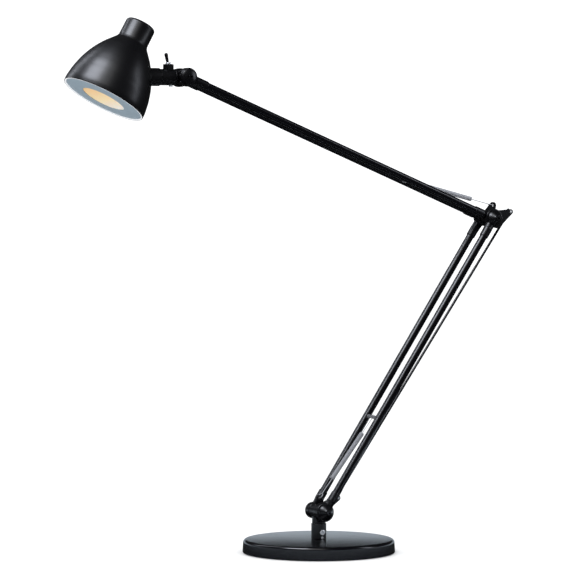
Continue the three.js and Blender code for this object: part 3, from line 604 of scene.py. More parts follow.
STRAIGHT_TUBE = tube_tree()
WOUND_COIL = coil_tree()
SPRING_HOOK = hook_tree()
RING_OF_BLOCKS = ring_of_blocks_tree()
print("trees:", [tree.name for tree in (STRAIGHT_TUBE, WOUND_COIL, SPRING_HOOK, RING_OF_BLOCKS)])


def belongs(obj, body, slot, *nodes):
    """A finished piece stands for CAD nodes and moves with a body; its slot is not used."""
    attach(obj, body)
    if nodes:
        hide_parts(*nodes)
    print(obj.name, "has", len(obj.data.polygons), "faces")
    return obj


# %% [markdown]
# ## Base and post
#
# The base is a heavy iron disc under a spun steel cover. Its top is flat and its edge is rounded with a
# radius of about 5 mm, where a thin bright line shows. The sides lean in slightly. Under it lies a rubber
# pad with ring-shaped grooves. The post stands on it and is clamped by a bright socket screw.

# %% Base cover
BASE_RADIUS, BASE_HEIGHT, BASE_EDGE, BASE_WALL = 115.0, 20.0, 5.0, 2.0
POST_HOLE = 4.4


def base_profile():
    edge = []
    for step in range(13):
        turn = math.pi / 2 * step / 12
        along = BASE_HEIGHT - BASE_EDGE + BASE_EDGE * math.sin(turn)
        edge.append((along, BASE_RADIUS - 0.7 - BASE_EDGE + BASE_EDGE * math.cos(turn)))
    inside = BASE_RADIUS - BASE_WALL - 0.6
    outside = [(0.6, BASE_RADIUS - 0.5), (1.1, BASE_RADIUS - 0.02), *edge, (BASE_HEIGHT, POST_HOLE)]
    back = [(BASE_HEIGHT - BASE_WALL, POST_HOLE), (BASE_HEIGHT - BASE_WALL, inside - 3),
            (BASE_HEIGHT - BASE_WALL - 3, inside), (0.6, inside), outside[0]]
    return outside + back


base_cover = turned("base_cover_spun", base_profile(), (0, 0, 0), (0, 0, 1), enamel_base, sides=256)
gland_hole = turned("gland_hole", solid_profile(100, 118, 4.3), (0, 0, 9 * MM), (0, 1, 0))
belongs(cut(base_cover, gland_hole), "base", "gloss_black", "base_cover")

# %% Rubber pad with grooves
PAD_RADIUS, PAD_HEIGHT = 112.1, 2.0
pad_profile = [(PAD_HEIGHT, 0), (PAD_HEIGHT, PAD_RADIUS), (0.6, PAD_RADIUS), (0, PAD_RADIUS - 0.8)]
for ring in range(9, 0, -1):
    middle = ring * 11.0
    pad_profile += [(0, middle + 1.2), (0.5, middle + 0.6), (0.5, middle - 0.6), (0, middle - 1.2)]
pad_profile.append((0, 0))
base_pad = turned("base_pad_grooved", pad_profile, (0, 0, 0), (0, 0, 1), rubber, sides=160)
belongs(base_pad, "base", "rubber", "base_pad")

# %% Cord gland
gland = turned("cord_gland_bush", soften([
    (104, 2.6), (104, 4), (115.4, 4), (115.4, 6), (117.6, 5.2), (117.6, 2.6), (104, 2.6)], 0.5),
    (0, 0, 9 * MM), (0, 1, 0), black_plastic, sides=64)
belongs(gland, "base", "black_plastic", "cord_gland")

# %% Post socket
POST_FOOT, POST_TOP, POST_RADIUS = 20.3, 43.5, 11.4
socket = turned("post_socket_turned", soften([
    (POST_FOOT, POST_HOLE), (POST_FOOT, POST_RADIUS), (POST_TOP, POST_RADIUS), (POST_TOP, 9.3),
    (24.3, 9.3), (24.3, POST_HOLE), (POST_FOOT, POST_HOLE)], 0.7), (0, 0, 0), (0, 0, 1), powder_coat)
CLAMP_Z, GRUB_Z = 30.5, 22.4
screw_bores = [
    turned("bore", solid_profile(-14, -8, 4.0), (0, 0, CLAMP_Z * MM), (0, 1, 0)),
    turned("bore", solid_profile(-14, -6, 2.2), (0, 0, GRUB_Z * MM), (0, 1, 0)),
]
belongs(cut(socket, *screw_bores), "base", "satin_black", "post_socket")


# %% Socket-headed screws
def hexagon_key(origin, axis, low, high, flats):
    """The hexagonal hole that a key fits, as a cutter."""
    return turned("key", solid_profile(low, high, flats / math.sqrt(3)), origin, axis, sides=6)


clamp_profile = soften([
    (9.4, 0), (9.4, 3.7), (11.7, 3.7), (11.7, 4.2), (12.6, 4.2), (13, 3.5), (13, 0)], 0.25)
clamp = turned("clamp_screw_turned", clamp_profile, (0, 0, CLAMP_Z * MM), (0, -1, 0), chrome)
cut(clamp, hexagon_key((0, 0, CLAMP_Z * MM), (0, -1, 0), 10.8, 14, 4.4))
belongs(clamp, "base", "chrome", "clamp_screw")
grub = turned("grub_screw_turned", soften([(6.4, 0), (6.4, 1.9), (12.2, 1.9), (12.2, 0)], 0.4),
              (0, 0, GRUB_Z * MM), (0, -1, 0), chrome, sides=48)
cut(grub, hexagon_key((0, 0, GRUB_Z * MM), (0, -1, 0), 10.6, 13, 1.9))
belongs(grub, "base", "chrome", "grub_screw")

# %% [markdown]
# ## The foot
#
# The foot turns in the post. It is a casting: a round neck, the hinge barrel across it, and a thin web
# with two lugs. One lug holds the lower spring and the other the levelling rod.

# %% Foot bracket
BARREL_HALF, BARREL_RADIUS = 7.6, 12.2
BOLT_BORE = 3.0
PLATE_THICKNESS = 4.0
SPRING_HOLE, PIN_HOLE = 2.2, 1.9
foot_spring_lug = joint_at["lower_hook_swing"]
foot_rod_lug = joint_at["level_rod_swing"]
neck_profile = [(24.9, 0), (24.9, 6.7), (43.8, 6.7), (43.8, 10.25), (61.7, 10.25), (61.7, 0)]
neck = turned("neck", neck_profile, (0, 0, 0), (0, 0, 1))
for flat in (-1, 1):
    cut(neck, block((-12, 7.4 if flat > 0 else -12, 46.4), (12, 12 if flat > 0 else -7.4, 64)))
foot_parts = [
    neck,
    cross_pin(FOOT, -BARREL_HALF, BARREL_HALF, BARREL_RADIUS, 96),
    strap(FOOT, BARREL_RADIUS - 2, foot_spring_lug, 4.4, PLATE_THICKNESS),
    strap(FOOT + Vector((2, 0, 2)) * MM, 9, foot_rod_lug, 4.4, PLATE_THICKNESS),
]
foot_bracket = cast("foot_bracket_cast", foot_parts, powder_coat, [
    cross_pin(FOOT, -9, 9, BOLT_BORE), cross_pin(foot_spring_lug, -4, 4, SPRING_HOLE),
    cross_pin(foot_rod_lug, -4, 4, PIN_HOLE)], voxel=0.4, relax=3)
belongs(foot_bracket, "foot", "satin_black", "foot_bracket")


# %% Rivets of the levelling rod
def rivet(name, where, body, node, far_head):
    """A rivet along Y: a small bright head on the plate, a wide one behind the rod's flat end."""
    profile = soften([
        (-3.2, 0), (-3.1, 1.5), (-2.35, 2.3), (-2.3, 1.6), (5.5, 1.6), (5.5, far_head), (6.2, far_head - 0.6),
        (6.7, 0)], 0.3)
    made = turned(name, profile, (where.x, 0, where.z), (0, 1, 0), chrome, sides=64)
    return belongs(made, body, "steel", node)


rivet("rod_rivet_lower", foot_rod_lug, "foot", "rod_pin_lower", 3.0)

# %% [markdown]
# ## Arm fittings
#
# Each tube ends in a casting with a hub that lies on the hinge. The hub, the slanting web and the sleeve
# are laid over each other and cast as one. What would touch the next fitting is then machined away.

# %% Fittings
lower_way = (ELBOW - FOOT).normalized()
upper_way = (HEAD - ELBOW).normalized()
LOWER_TUBE_Y, UPPER_TUBE_Y = 19.65, 13.85
TUBE_RADIUS, TUBE_WALL, TUBE_INSET = 5.75, 1.1, 21.0
SLEEVE_RADIUS, SLEEVE_BORE, SLEEVE_END = 6.8, 5.95, 34.0
NEAR_HUB, FAR_HUB = 14.5, 12.4


def fitting(name, hinge, way, tube_y, inner, outer, hub_radius, web_radius, body, node, outside_cut=0.0):
    """One cast end of a tube; tube_y tells the side, inner and outer are the hub's faces along Y."""
    sign = math.copysign(1, tube_y)

    def spot(along, y):
        return hinge + way * (along * MM) + Vector((0, y * MM, 0))

    hub = turned("hub", soften([(inner, 0), (inner, hub_radius), (outer, hub_radius), (outer, 0)], 1.2),
                 (hinge.x, 0, hinge.z), (0, sign, 0), sides=128)
    start, end = spot(3, sign * (inner + outer) / 2), spot(TUBE_INSET + 3, tube_y)
    slant = (end - start).length / MM
    web_profile = [(0, 0), (0, web_radius), (slant, SLEEVE_RADIUS), (slant, 0)]
    web = turned("web", web_profile, start, end - start, sides=64)
    sleeve = turned("sleeve", soften(solid_profile(TUBE_INSET - 3, SLEEVE_END, SLEEVE_RADIUS), 0.9),
                    hinge + Vector((0, tube_y * MM, 0)), way, sides=96)
    cutters = [
        turned("sleeve_bore", solid_profile(TUBE_INSET - 1, SLEEVE_END + 2, SLEEVE_BORE),
               hinge + Vector((0, tube_y * MM, 0)), way, sides=64),
        turned("inner_clearance", solid_profile(inner - 14, inner, NEAR_HUB + 1.6),
               (hinge.x, 0, hinge.z), (0, sign, 0), sides=128),
    ]
    if outside_cut:
        cutters.append(turned("outer_clearance", solid_profile(outer, outer + 16, outside_cut),
                              (hinge.x, 0, hinge.z), (0, sign, 0), sides=128))
    made = cast(name, [hub, web, sleeve], powder_coat, cutters, voxel=0.45, relax=7)
    return belongs(made, body, "satin_black", node)


SIDES = (("near", -1), ("far", 1))
CAP_BASE = 12.0
for side, sign in SIDES:
    hub_radius = NEAR_HUB if sign < 0 else FAR_HUB
    cap_cut = CAP_BASE + 0.6 if sign < 0 else 0.0
    fitting(f"lower_foot_casting_{side}", FOOT, lower_way, sign * LOWER_TUBE_Y, 9.4, 22, hub_radius, 7.2,
            "lower_arm", f"lower_foot_fitting_{side}", cap_cut)
    fitting(f"lower_elbow_casting_{side}", ELBOW, -lower_way, sign * LOWER_TUBE_Y, 12.9, 22, hub_radius, 7.2,
            "lower_arm", f"lower_elbow_fitting_{side}", cap_cut)
    fitting(f"upper_elbow_casting_{side}", ELBOW, upper_way, sign * UPPER_TUBE_Y, 4.05, 12.15, FAR_HUB, 5.9,
            "upper_arm", f"upper_elbow_fitting_{side}", NEAR_HUB + 1.2)
    fitting(f"upper_head_casting_{side}", HEAD, -upper_way, sign * UPPER_TUBE_Y, 7.95, 19.2, 13.8, 6.8,
            "upper_arm", f"upper_head_fitting_{side}", 13.8 if sign < 0 else 0.0)

# %% [markdown]
# ## Arm tubes and crossbars
#
# The tubes are drawn steel of 11.5 mm. A short crossbar between the tubes of each arm takes the pull of
# its balance spring.


# %% Tubes
def arm_tube(name, start, way, length, tube_y, body, node):
    place = frame_along(start + Vector((0, tube_y * MM, 0)), way)
    made = made_by(STRAIGHT_TUBE, name, place, **{
        "From": TUBE_INSET * MM, "To": length - TUBE_INSET * MM, "Radius": TUBE_RADIUS * MM,
        "Wall": TUBE_WALL * MM, "Material": tube_paint})
    return belongs(made, body, "satin_black", node)


for side, sign in SIDES:
    arm_tube(f"lower_tube_drawn_{side}", FOOT, lower_way, (ELBOW - FOOT).length, sign * LOWER_TUBE_Y,
             "lower_arm", f"lower_tube_{side}")
    arm_tube(f"upper_tube_drawn_{side}", ELBOW, upper_way, (HEAD - ELBOW).length, sign * UPPER_TUBE_Y,
             "upper_arm", f"upper_tube_{side}")

# %% Crossbars
BAR_RADIUS = 2.15
lower_crossbar_at = joint_at["lower_spring_swing"]
upper_crossbar_at = ELBOW + upper_way * (155 * MM)


def crossbar(name, where, tube_y, body, node):
    reach = tube_y - TUBE_RADIUS - 0.3
    profile = soften([(-reach, 0), (-reach, BAR_RADIUS + 1.2), (2.2 - reach, BAR_RADIUS + 1.2),
                      (2.2 - reach, BAR_RADIUS), (reach - 2.2, BAR_RADIUS), (reach - 2.2, BAR_RADIUS + 1.2),
                      (reach, BAR_RADIUS + 1.2), (reach, 0)], 0.4)
    made = turned(name, profile, (where.x, 0, where.z), (0, 1, 0), zinc, sides=48)
    return belongs(made, body, "steel", node)


crossbar("lower_crossbar_turned", lower_crossbar_at, LOWER_TUBE_Y, "lower_arm", "lower_crossbar")
crossbar("upper_crossbar_turned", upper_crossbar_at, UPPER_TUBE_Y, "upper_arm", "upper_crossbar")


# %% [markdown]
# ## Clamp caps and hinge screws
#
# A long socket-headed screw runs through each hinge. On the near side it sits in a conical cap, which
# presses the hinge together. The cone has a small shoulder and a rounded tip.


# %% Conical caps and their screws
def hinge_cap(name, hinge, profile, recess, body, node):
    made = turned(name, soften(profile, 0.8), (hinge.x, 0, hinge.z), (0, -1, 0), powder_coat, sides=128)
    low, high, radius = recess
    cut(made, turned("recess", solid_profile(low, high, radius), (hinge.x, 0, hinge.z), (0, -1, 0)),
        turned("bore", solid_profile(-1, high, BOLT_BORE), (hinge.x, 0, hinge.z), (0, -1, 0)))
    return belongs(made, body, "satin_black", node)


def hinge_screw(name, hinge, tail, head_low, head_high, body, node):
    shank, head = 2.7, 3.75
    profile = soften([(tail, 0), (tail, shank), (head_low, shank), (head_low, head), (head_high, head),
                      (head_high, 0)], 0.35)
    made = turned(name, profile, (hinge.x, 0, hinge.z), (0, -1, 0), black_oxide, sides=64)
    cut(made, hexagon_key((hinge.x, 0, hinge.z), (0, -1, 0), head_high - 1.8, head_high + 1, 3.6))
    return belongs(made, body, "steel", node)


HEAD_RECESS = 4.05
CONE = [(22.3, 0), (22.3, CAP_BASE), (23.5, CAP_BASE), (26.3, CAP_BASE - 2.2), (30.7, 5.4), (31.9, 4.6),
        (31.9, 0)]
for label, hinge in (("foot", FOOT), ("elbow", ELBOW)):
    hinge_cap(f"{label}_hinge_cone", hinge, CONE, (30.5, 33, HEAD_RECESS), "lower_arm", f"{label}_hinge_cap")
    hinge_screw(f"{label}_hinge_screw", hinge, -18.6, 30.8, 33.8, "lower_arm", f"{label}_hinge_bolt")
DOME = [(19.5, 0), (19.5, 12.6), (20.4, 12.2), (21.6, 10.4), (22.8, 7), (23.5, 4.6), (23.5, 0)]
hinge_cap("head_hinge_dome", HEAD, DOME, (22.3, 25, HEAD_RECESS), "upper_arm", "head_hinge_cap")
hinge_screw("head_hinge_screw", HEAD, -16, 22.6, 25.2, "upper_arm", "head_hinge_bolt")

# %% [markdown]
# ## Levelling linkage
#
# A flat plate hangs on the elbow and a thin rod ties it to the foot, so that the plate stays nearly level
# as the lower arm leans. The rod is round, and its ends are hammered flat. A loft of changing sections
# makes that: wide and thin at the ends, round in between.

# %% Elbow plate
elbow_spring_lug = joint_at["upper_hook_swing"]
elbow_rod_lug = ELBOW + Vector((41.5, 0, 9.5)) * MM
elbow_corner = ELBOW + Vector((17, 0, -10)) * MM
plate_parts = [
    cross_pin(ELBOW, -3.7, 3.7, 7, 96),
    strap(ELBOW, 11, elbow_spring_lug, 5.2, PLATE_THICKNESS),
    strap(ELBOW + Vector((2, 0, 1)) * MM, 9.4, elbow_rod_lug, 4.0, PLATE_THICKNESS),
    strap(ELBOW, 11, elbow_corner, 6, PLATE_THICKNESS),
    strap(elbow_corner, 6, elbow_rod_lug, 4.0, PLATE_THICKNESS),
]
elbow_plate = cast("elbow_plate_cast", plate_parts, powder_coat, [
    cross_pin(ELBOW, -6, 6, BOLT_BORE), cross_pin(elbow_spring_lug, -4, 4, SPRING_HOLE),
    cross_pin(elbow_rod_lug, -4, 4, PIN_HOLE)], voxel=0.35, relax=3)
belongs(elbow_plate, "elbow_plate", "satin_black", "elbow_plate")
rivet("rod_rivet_upper", elbow_rod_lug, "elbow_plate", "rod_pin_upper", 4.7)


# %% Levelling rod
def flattened_rod(name, low, high, material):
    """A rod from low to high: a small flat eye at the foot and a large one, with play, at the elbow."""
    length = (high - low).length / MM
    round_radius, blade, plane_y = 1.95, 1.8, 4.3
    low_eye, high_eye, slope = 3.6, 5.35, 24.0

    def section(s):
        """Half width and half thickness at a distance s along the rod."""
        width, thick = round_radius, round_radius
        for eye, from_end in ((low_eye, s), (high_eye, length - s)):
            if from_end < slope:
                flat = 1 - max(0, from_end - slope * 0.6) / (slope * 0.4)
                flat = flat * flat * (3 - 2 * flat)
                taper = eye + (round_radius + 0.4 - eye) * max(0, from_end) / slope
                tip = math.sqrt(max(0.0, eye ** 2 - min(0, from_end) ** 2))
                reach = min(taper, tip) if from_end < 0 else taper
                width = round_radius + reach * flat - round_radius * flat
                thick = round_radius + (blade / 2 - round_radius) * flat
        return width, thick

    way = (high - low).normalized()
    across = Vector((0, 1, 0)).cross(way)
    tips = [(-low_eye + 0.03 + i * low_eye / 10) for i in range(10)]
    slopes = [i * slope / 20 for i in range(21)]
    stations = tips + slopes + [length - s for s in slopes[::-1]] + [length - t for t in tips[::-1]]
    bm = bmesh.new()
    rings = []
    for s in stations:
        width, thick = section(s)
        ring = []
        for i in range(32):
            turn = 2 * math.pi * i / 32
            square = 1 - 0.35 * (1 - thick / round_radius)
            c, w = math.cos(turn), math.sin(turn)
            shape = math.copysign(abs(c) ** square, c) * width, math.copysign(abs(w) ** square, w) * thick
            aside = across * (shape[0] * MM) + Vector((0, (plane_y + shape[1]) * MM, 0))
            spot = low + way * (s * MM) + aside
            ring.append(bm.verts.new(spot))
        rings.append(ring)
    for a, b in zip(rings, rings[1:]):
        for i in range(32):
            bm.faces.new((a[i], a[(i + 1) % 32], b[(i + 1) % 32], b[i]))
    bm.faces.new(rings[0][::-1])
    bm.faces.new(rings[-1])
    made = object_from(name, bm, material, sharp=50)
    return cut(made, cross_pin(low, 2, 8, PIN_HOLE), cross_pin(high, 2, 8, 3.8))


level_rod = flattened_rod("level_rod_flattened", foot_rod_lug, elbow_rod_lug, powder_coat)
belongs(level_rod, "level_rod", "satin_black", "level_rod")

# %% [markdown]
# ## Balance springs
#
# Each spring is a close-wound coil of bright wire. One end closes in to a straight lead with an eye round
# the crossbar. The other end is a separate hook whose wire slides in the coil, because these bodies stay
# rigid while the real coil would stretch.

# %% Springs
SPRING_RADIUS, SPRING_WIRE, HOOK_RING = 3.1, 0.48, 4.2
TURN_PITCH = 2.06 * SPRING_WIRE
EYE_RADIUS = BAR_RADIUS + 0.3 + 0.6


def balance_spring(label, crossbar_at, lug, lead, coil, coil_body, hook_body):
    line = lug - crossbar_at
    turns = round(coil / TURN_PITCH)
    coil_piece = made_by(WOUND_COIL, f"{label}_winding", frame_along(crossbar_at, line), **{
        "Lead": lead * MM, "Length": coil * MM, "Radius": SPRING_RADIUS * MM, "Wire": SPRING_WIRE * MM,
        "Turns": turns, "Eye": EYE_RADIUS * MM, "Material": spring_wire})
    belongs(coil_piece, coil_body, "spring_steel", f"{label}_coil")
    reach = line.length - (lead + coil - 18) * MM
    hook = made_by(SPRING_HOOK, f"{label}_hooked_end", frame_along(lug, -line), **{
        "Ring": HOOK_RING * MM, "Reach": reach, "Wire": 0.6 * MM, "Material": spring_wire})
    belongs(hook, hook_body, "spring_steel", f"{label}_hook")
    print(label, "is", round(line.length / MM, 1), "mm long, with", turns, "turns")


balance_spring("lower_spring", lower_crossbar_at, foot_spring_lug, 31, 84, "lower_spring_coil",
               "lower_spring_hook")
balance_spring("upper_spring", upper_crossbar_at, elbow_spring_lug, 24, 94, "upper_arm", "upper_spring_hook")

# %% [markdown]
# ## Head joint
#
# The knuckle turns between the two head fittings and plugs into the neck tube. The tube carries a toggle
# switch with a hexagon nut. A clear bush below it lets the lead out towards the arm.

# %% Knuckle and neck tube
CAP_RIGHT, CAP_LEFT = -14.2, -16.6
KNUCKLE_RADIUS, NECK_RADIUS = 11.4, 12.05
head_x = HEAD.x / MM


knuckle_parts = [
    cross_pin(HEAD, -7.6, 7.6, KNUCKLE_RADIUS, 96),
    block((head_x + CAP_RIGHT - 1, -7.6, HEAD.z / MM - 8.5), (head_x, 7.6, HEAD.z / MM + 8.5)),
    turned("end_cap", soften(solid_profile(CAP_LEFT, CAP_RIGHT, NECK_RADIUS), 0.8), HEAD, (1, 0, 0)),
    turned("plug", solid_profile(CAP_LEFT - 1.5, CAP_LEFT + 1, 10), HEAD, (1, 0, 0)),
]
knuckle = cast("head_knuckle_cast", knuckle_parts, enamel, [cross_pin(HEAD, -9, 9, BOLT_BORE)], voxel=0.4,
               relax=3)
belongs(knuckle, "head", "gloss_black", "head_knuckle")

NECK_LEFT, NECK_RIGHT = -39.9, -16.9
neck_profile = soften(tube_profile(NECK_LEFT, NECK_RIGHT, NECK_RADIUS, 10.4), 0.5)
neck = turned("neck_tube_turned", neck_profile, HEAD, (1, 0, 0), enamel, sides=128)
SWITCH_X, LEAD_X = -24.5, -20.6
switch_foot = HEAD + Vector((SWITCH_X, 0, 0)) * MM
lead_foot = HEAD + Vector((LEAD_X, 0, 0)) * MM
cut(neck, turned("hole", solid_profile(0, 20, 4.7), switch_foot, (0, 0, 1), sides=48),
    turned("hole", solid_profile(0, 20, 2.3), lead_foot, (0, 0, -1), sides=32))
belongs(neck, "head", "gloss_black", "neck_tube")

# %% Clear bush of the lead
bush = turned("lead_bush_clear", soften([
    (8.6, 0), (8.6, 2), (12.35, 2), (12.35, 3.4), (13.2, 3.2), (14.3, 2), (14.7, 0)], 0.5),
    lead_foot, (0, 0, -1), clear_plastic, sides=64)
belongs(bush, "head", "clear_plastic", "lead_grommet")

# %% [markdown]
# ## Toggle switch
#
# The switch is a standard panel toggle: a threaded chrome bushing, a black hexagon nut that is shaped to
# the round tube, and a black lever that widens towards its end. The thread is a profile of small teeth.

# %% Nut, bushing and lever
NUT_TOP, BUSHING_TOP, BUSHING_RADIUS = 19.0, 21.6, 4.4
nut = turned("switch_nut_shaped", soften([(9.4, 4.7), (9.4, 15 / math.sqrt(3)), (NUT_TOP, 15 / math.sqrt(3)),
             (NUT_TOP, 4.7), (9.4, 4.7)], 1.0, 3), switch_foot, (0, 0, 1), black_plastic, sides=6, sharp=25)
cut(nut, turned("saddle", solid_profile(-20, 20, NECK_RADIUS + 0.3), switch_foot, (1, 0, 0), sides=128))
belongs(nut, "head", "black_plastic", "switch_nut")

thread = [(6.7, 0), (6.7, BUSHING_RADIUS - 0.3)]
along = 7.0
while along < BUSHING_TOP - 2.2:
    thread += [(along, BUSHING_RADIUS - 0.35), (along + 0.25, BUSHING_RADIUS)]
    along += 0.5
thread += [(BUSHING_TOP - 1.6, BUSHING_RADIUS - 0.2), (BUSHING_TOP - 0.5, 4.1), (BUSHING_TOP, 3.7),
           (BUSHING_TOP - 0.4, 3.1), (12.3, 2.65), (12.3, 0)]
bushing = turned("switch_bushing_threaded", thread, switch_foot, (0, 0, 1), chrome, sides=96, sharp=50)
belongs(bushing, "head", "chrome", "switch_bushing")

lever_pivot = joint_at["switch_throw"]
LEVER_LEAN = math.radians(11.5)
lever_way = Vector((-math.sin(LEVER_LEAN), 0, math.cos(LEVER_LEAN)))
lever_profile = [(-2, 0), (-1.7, 1.1), (-1, 1.8), (0, 2.1), (1.4, 2.0), (4, 1.95), (7, 2.1), (10, 2.25),
                 (14, 2.5), (17.4, 2.68), (18.8, 2.6), (19.7, 2.2), (20.3, 1.4), (20.5, 0.7), (20.5, 0)]
lever = turned("switch_lever_turned", soften(lever_profile, 0.5, 2), lever_pivot, lever_way, black_plastic,
               sides=64)
belongs(lever, "switch_lever", "black_plastic", "switch_lever")

# %% [markdown]
# ## Shade
#
# The shade is spun from sheet steel: a bell that narrows in one curve to a short closed neck. A few
# measured radii give the profile, and a smooth curve through them gives the rest. The wall is 1.2 mm, and
# its rim is rounded, so the shell is a closed profile that goes up outside and comes back inside.

# %% Shade shell
TILT = math.radians(29.07)
shade_axis = Vector((math.sin(TILT), 0, math.cos(TILT)))
RIM = Vector((-354.4, 0, 678.1)) * MM
SNUG = 0.997  # keeps the smooth shell inside the corners of the CAD shell
OUTSIDE = [(0, 63.5), (7, 63.7), (16, 62.6), (25, 61.1), (31, 59.6), (38.5, 57.6), (45.5, 55.2), (56, 50.8),
           (67, 45), (78.5, 37.4), (84, 33), (90, 28.0), (94.5, 24.5), (98.5, 22.9)]
NECK_TOP = 126.5


def through(points, per_span=8):
    """A smooth curve through the points, without overshoot."""
    made = []
    count = len(points)
    slopes = []
    for i in range(count):
        before, after = points[max(0, i - 1)], points[min(count - 1, i + 1)]
        slopes.append((after[1] - before[1]) / (after[0] - before[0]))
    for i in range(count - 1):
        (x0, y0), (x1, y1) = points[i], points[i + 1]
        for step in range(per_span):
            t = step / per_span
            a, b = 2 * t ** 3 - 3 * t ** 2 + 1, t ** 3 - 2 * t ** 2 + t
            c, d = -2 * t ** 3 + 3 * t ** 2, t ** 3 - t ** 2
            y = a * y0 + b * (x1 - x0) * slopes[i] + c * y1 + d * (x1 - x0) * slopes[i + 1]
            made.append((x0 + (x1 - x0) * t, y))
    made.append(points[-1])
    return made


bell = through(OUTSIDE)
crown = []
for step in range(11):
    turn = step * math.pi / 20
    crown.append((NECK_TOP - 5 + 5 * math.sin(turn), 17.7 + 5 * math.cos(turn)))
outer_skin = [(s, r * SNUG) for s, r in bell + crown] + [(NECK_TOP, 0)]
WALL = 1.2
inner_skin = [(s - (WALL if s > 110 else 0), max(0.0, r - WALL)) for s, r in outer_skin[:-1]]
inner_skin = [(max(s, 0.35), r) for s, r in inner_skin if r > 0] + [(NECK_TOP - WALL, 0)]
inner_skin = [(s, r) for s, r in inner_skin if s > 3.4]
rim_edge = [(3.4, 62.2), (0.6, 62.7), (0.15, 62.8), (0.0, 63.1)]
shell_profile = inner_skin[::-1] + rim_edge + outer_skin[1:]
shell = turned("shade_shell_spun", shell_profile, RIM, shade_axis, enamel, sides=224)
NIPPLE_RADIUS = 4.5
NIPPLE_SIDE = Vector((-0.3, 0, HEAD.z))
cut(shell, turned("nipple_hole", solid_profile(0, 50, NIPPLE_RADIUS + 0.3), NIPPLE_SIDE, (1, 0, 0)))
belongs(shell, "shade", "gloss_black", "shade_shell")

# %% [markdown]
# The collar joins the shade to the neck tube. It is cut to the curve of the shell, and its rim has small
# notches all round, which click over the tube's end as the shade is turned. The notches are one block,
# repeated round a circle by Geometry Nodes and then taken out of the collar.

# %% Collar with its ring of notches
COLLAR_RADIUS, COLLAR_RIGHT = 13.25, NECK_LEFT - 0.3
collar_profile = soften(solid_profile(-64, COLLAR_RIGHT, COLLAR_RADIUS), 0.5)
collar = turned("shade_collar_notched", collar_profile, HEAD, (1, 0, 0), enamel, sides=128)
bulk = turned("shade_bulk", [(0, 0)] + [(s, r + 0.05) for s, r in outer_skin[:-1]] + [(NECK_TOP, 0)],
              RIM, shade_axis, sides=160)
notch_place = frame_along(HEAD + Vector((COLLAR_RIGHT, 0, 0)) * MM, (1, 0, 0))
notches = made_by(RING_OF_BLOCKS, "notches", notch_place, **{
    "Count": 12, "Radius": (COLLAR_RADIUS - 0.2) * MM, "Size": Vector((2.4, 2.2, 3.0)) * MM,
    "Material": enamel})
bore = turned("collar_bore", solid_profile(-50.8, COLLAR_RIGHT + 2, 11), HEAD, (1, 0, 0))
cut(collar, bulk, notches, bore)
belongs(collar, "shade", "gloss_black", "shade_collar")

# %% [markdown]
# ## Light
#
# The mouth of the shade is closed by a blue-grey plate with a turned-up edge. A thin white lip lies
# between the plate and the shell, and the opal disc shows in the middle of the plate.

# %% Trim plate, lip and diffuser
plate = turned("trim_plate_pressed", soften([
    (0.2, 33), (1.4, 60.2), (3.6, 59.7), (3.6, 58.3), (2.8, 58.8), (1.6, 33), (0.2, 33)], 0.6),
    RIM, shade_axis, trim_paint, sides=192)
belongs(plate, "shade", "trim_grey", "trim_plate")
lip_profile = [(3, 60.5), (0.7, 60.3), (0.1, 61.0), (0.05, 62.5), (0.6, 62.7), (3, 62.0), (3, 60.5)]
lip = turned("white_lip_ring", soften(lip_profile, 0.3), RIM, shade_axis, white_lip, sides=192)
belongs(lip, "shade", "white_lip", "trim_gasket")
disc_profile = soften([(0.4, 0), (0.6, 30), (1.9, 34), (5.1, 34), (5.1, 0)], 1.2)
disc = turned("diffuser_opal", disc_profile, RIM, shade_axis, opal, sides=128)
belongs(disc, "shade", "diffuser", "diffuser")

# %% [markdown]
# ## Pieces that keep their CAD shape
#
# What lies inside the lamp is seen only when it is taken apart. Its plain shape is right, so it keeps its
# CAD mesh and gets the finish of the real piece.

# %% Finishes of the inner pieces
INNER = {
    cast_iron: ["base_weight"],
    zinc: ["post_bolt", "shade_nipple", "shade_nut", "mount_ring"],
    nylon: ["post_bush"],
    aluminium: ["heat_sink"],
    white_board: ["led_board", "light_cup"],
    black_plastic: ["led_driver", "switch_body", "foot_washer_near", "foot_washer_far"],
}
for material, names in INNER.items():
    for name in names:
        mesh = frame["nodes"][name].data
        mesh.materials.clear()
        mesh.materials.append(material)

# %% [markdown]
# ## Floor and light
#
# The floor is pale and plain. One large soft light hangs above the lamp to the left, a strip stands behind
# it, and a weaker one stands to the right. These three show only in reflections. A fourth, above the front,
# also lights the floor and the pale pieces. Black paint shows only what it mirrors, so the room around
# stays dark for reflections while it is bright for everything else.

# %% Floor and lights
floor_mesh = bmesh.new()
bmesh.ops.create_grid(floor_mesh, x_segments=1, y_segments=1, size=12)
floor_finish = finish("pale_floor", (0.93, 0.93, 0.93), 0.9, uneven=0.02, grain=60, bump=0.02, shift=0.005)
floor = object_from("floor", floor_mesh, floor_finish)
floor.location.z = -0.0005


def softbox(name, where, looks_at, size, power):
    light = bpy.data.objects.new(name, bpy.data.lights.new(name, "AREA"))
    light.data.shape = "RECTANGLE"
    light.data.size, light.data.size_y = size
    light.data.energy = power
    light.location = where
    light.rotation_mode = "QUATERNION"
    light.rotation_quaternion = (Vector(looks_at) - Vector(where)).to_track_quat("-Z", "Y")
    bpy.context.scene.collection.objects.link(light)
    return light


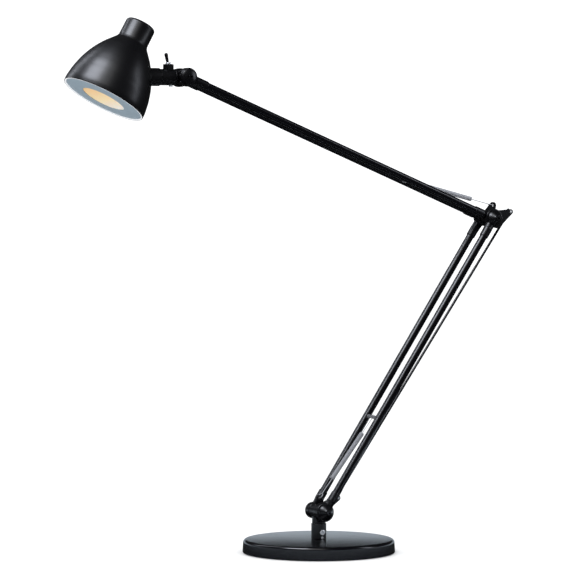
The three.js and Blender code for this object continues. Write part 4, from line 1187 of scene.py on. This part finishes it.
key = softbox("key_overhead", (-1.4, -0.3, 2.4), (-0.3, 0, 0.6), (1.3, 1.1), 62)
back = softbox("back_left_strip", (-1.0, 1.5, 1.7), (0, 0, 0.45), (0.22, 1.6), 9)
fill = softbox("fill_right", (1.6, -1.05, 1.1), (0, 0, 0.5), (0.3, 1.4), 7)
for light in (key, back, fill):
    light.data.color = (0.86, 0.9, 1)
    light.visible_diffuse = False
softbox("daylight", (-1.2, -1.4, 2.6), (-0.1, 0, 0.3), (1.6, 1.6), 14)

# %% [markdown]
# The base's top is seen at a very flat angle, so it mirrors what stands just above the desk all round it.
# A low bright ring of card, which only reflections see, gives it the soft sheen that runs from its far
# edge forward, and darkness above the card gives the black near the front.


# %% Low ring of bright card
def glowing(name, color, strength):
    """A card that shines evenly, with a slight unevenness like paper."""
    material = finish(name, color, 0.9, grain=20, bump=0.02)
    shader = material.node_tree.nodes["Principled BSDF"]
    shader.inputs["Base Color"].default_value = (*color, 1)
    shader.inputs["Emission Color"].default_value = (*color, 1)
    shader.inputs["Emission Strength"].default_value = strength
    return material


CARD_DISTANCE, CARD_HEIGHT = 420.0, 76.0
card = turned("low_card_ring", [(0, CARD_DISTANCE), (CARD_HEIGHT, CARD_DISTANCE)], (0, 0, 0.001), (0, 0, 1),
              glowing("bright_card", (0.4, 0.45, 0.5), 0.57), sides=96)
for seen_by in ("visible_camera", "visible_diffuse", "visible_shadow", "visible_transmission"):
    setattr(card, seen_by, False)
floor.visible_glossy = False

# %% Surroundings
world = bpy.data.worlds.new("studio")
bpy.context.scene.world = world
world.use_nodes = True
backdrop = world.node_tree.nodes["Background"]
path = world.node_tree.nodes.new("ShaderNodeLightPath")
amount = world.node_tree.nodes.new("ShaderNodeMapRange")
amount.inputs["To Min"].default_value = 1.3
amount.inputs["To Max"].default_value = 0.03
world.node_tree.links.new(path.outputs["Is Glossy Ray"], amount.inputs["Value"])
world.node_tree.links.new(amount.outputs["Result"], backdrop.inputs["Strength"])
backdrop.inputs["Color"].default_value = (0.98, 0.99, 1, 1)
bpy.context.scene.view_settings.view_transform = "Standard"
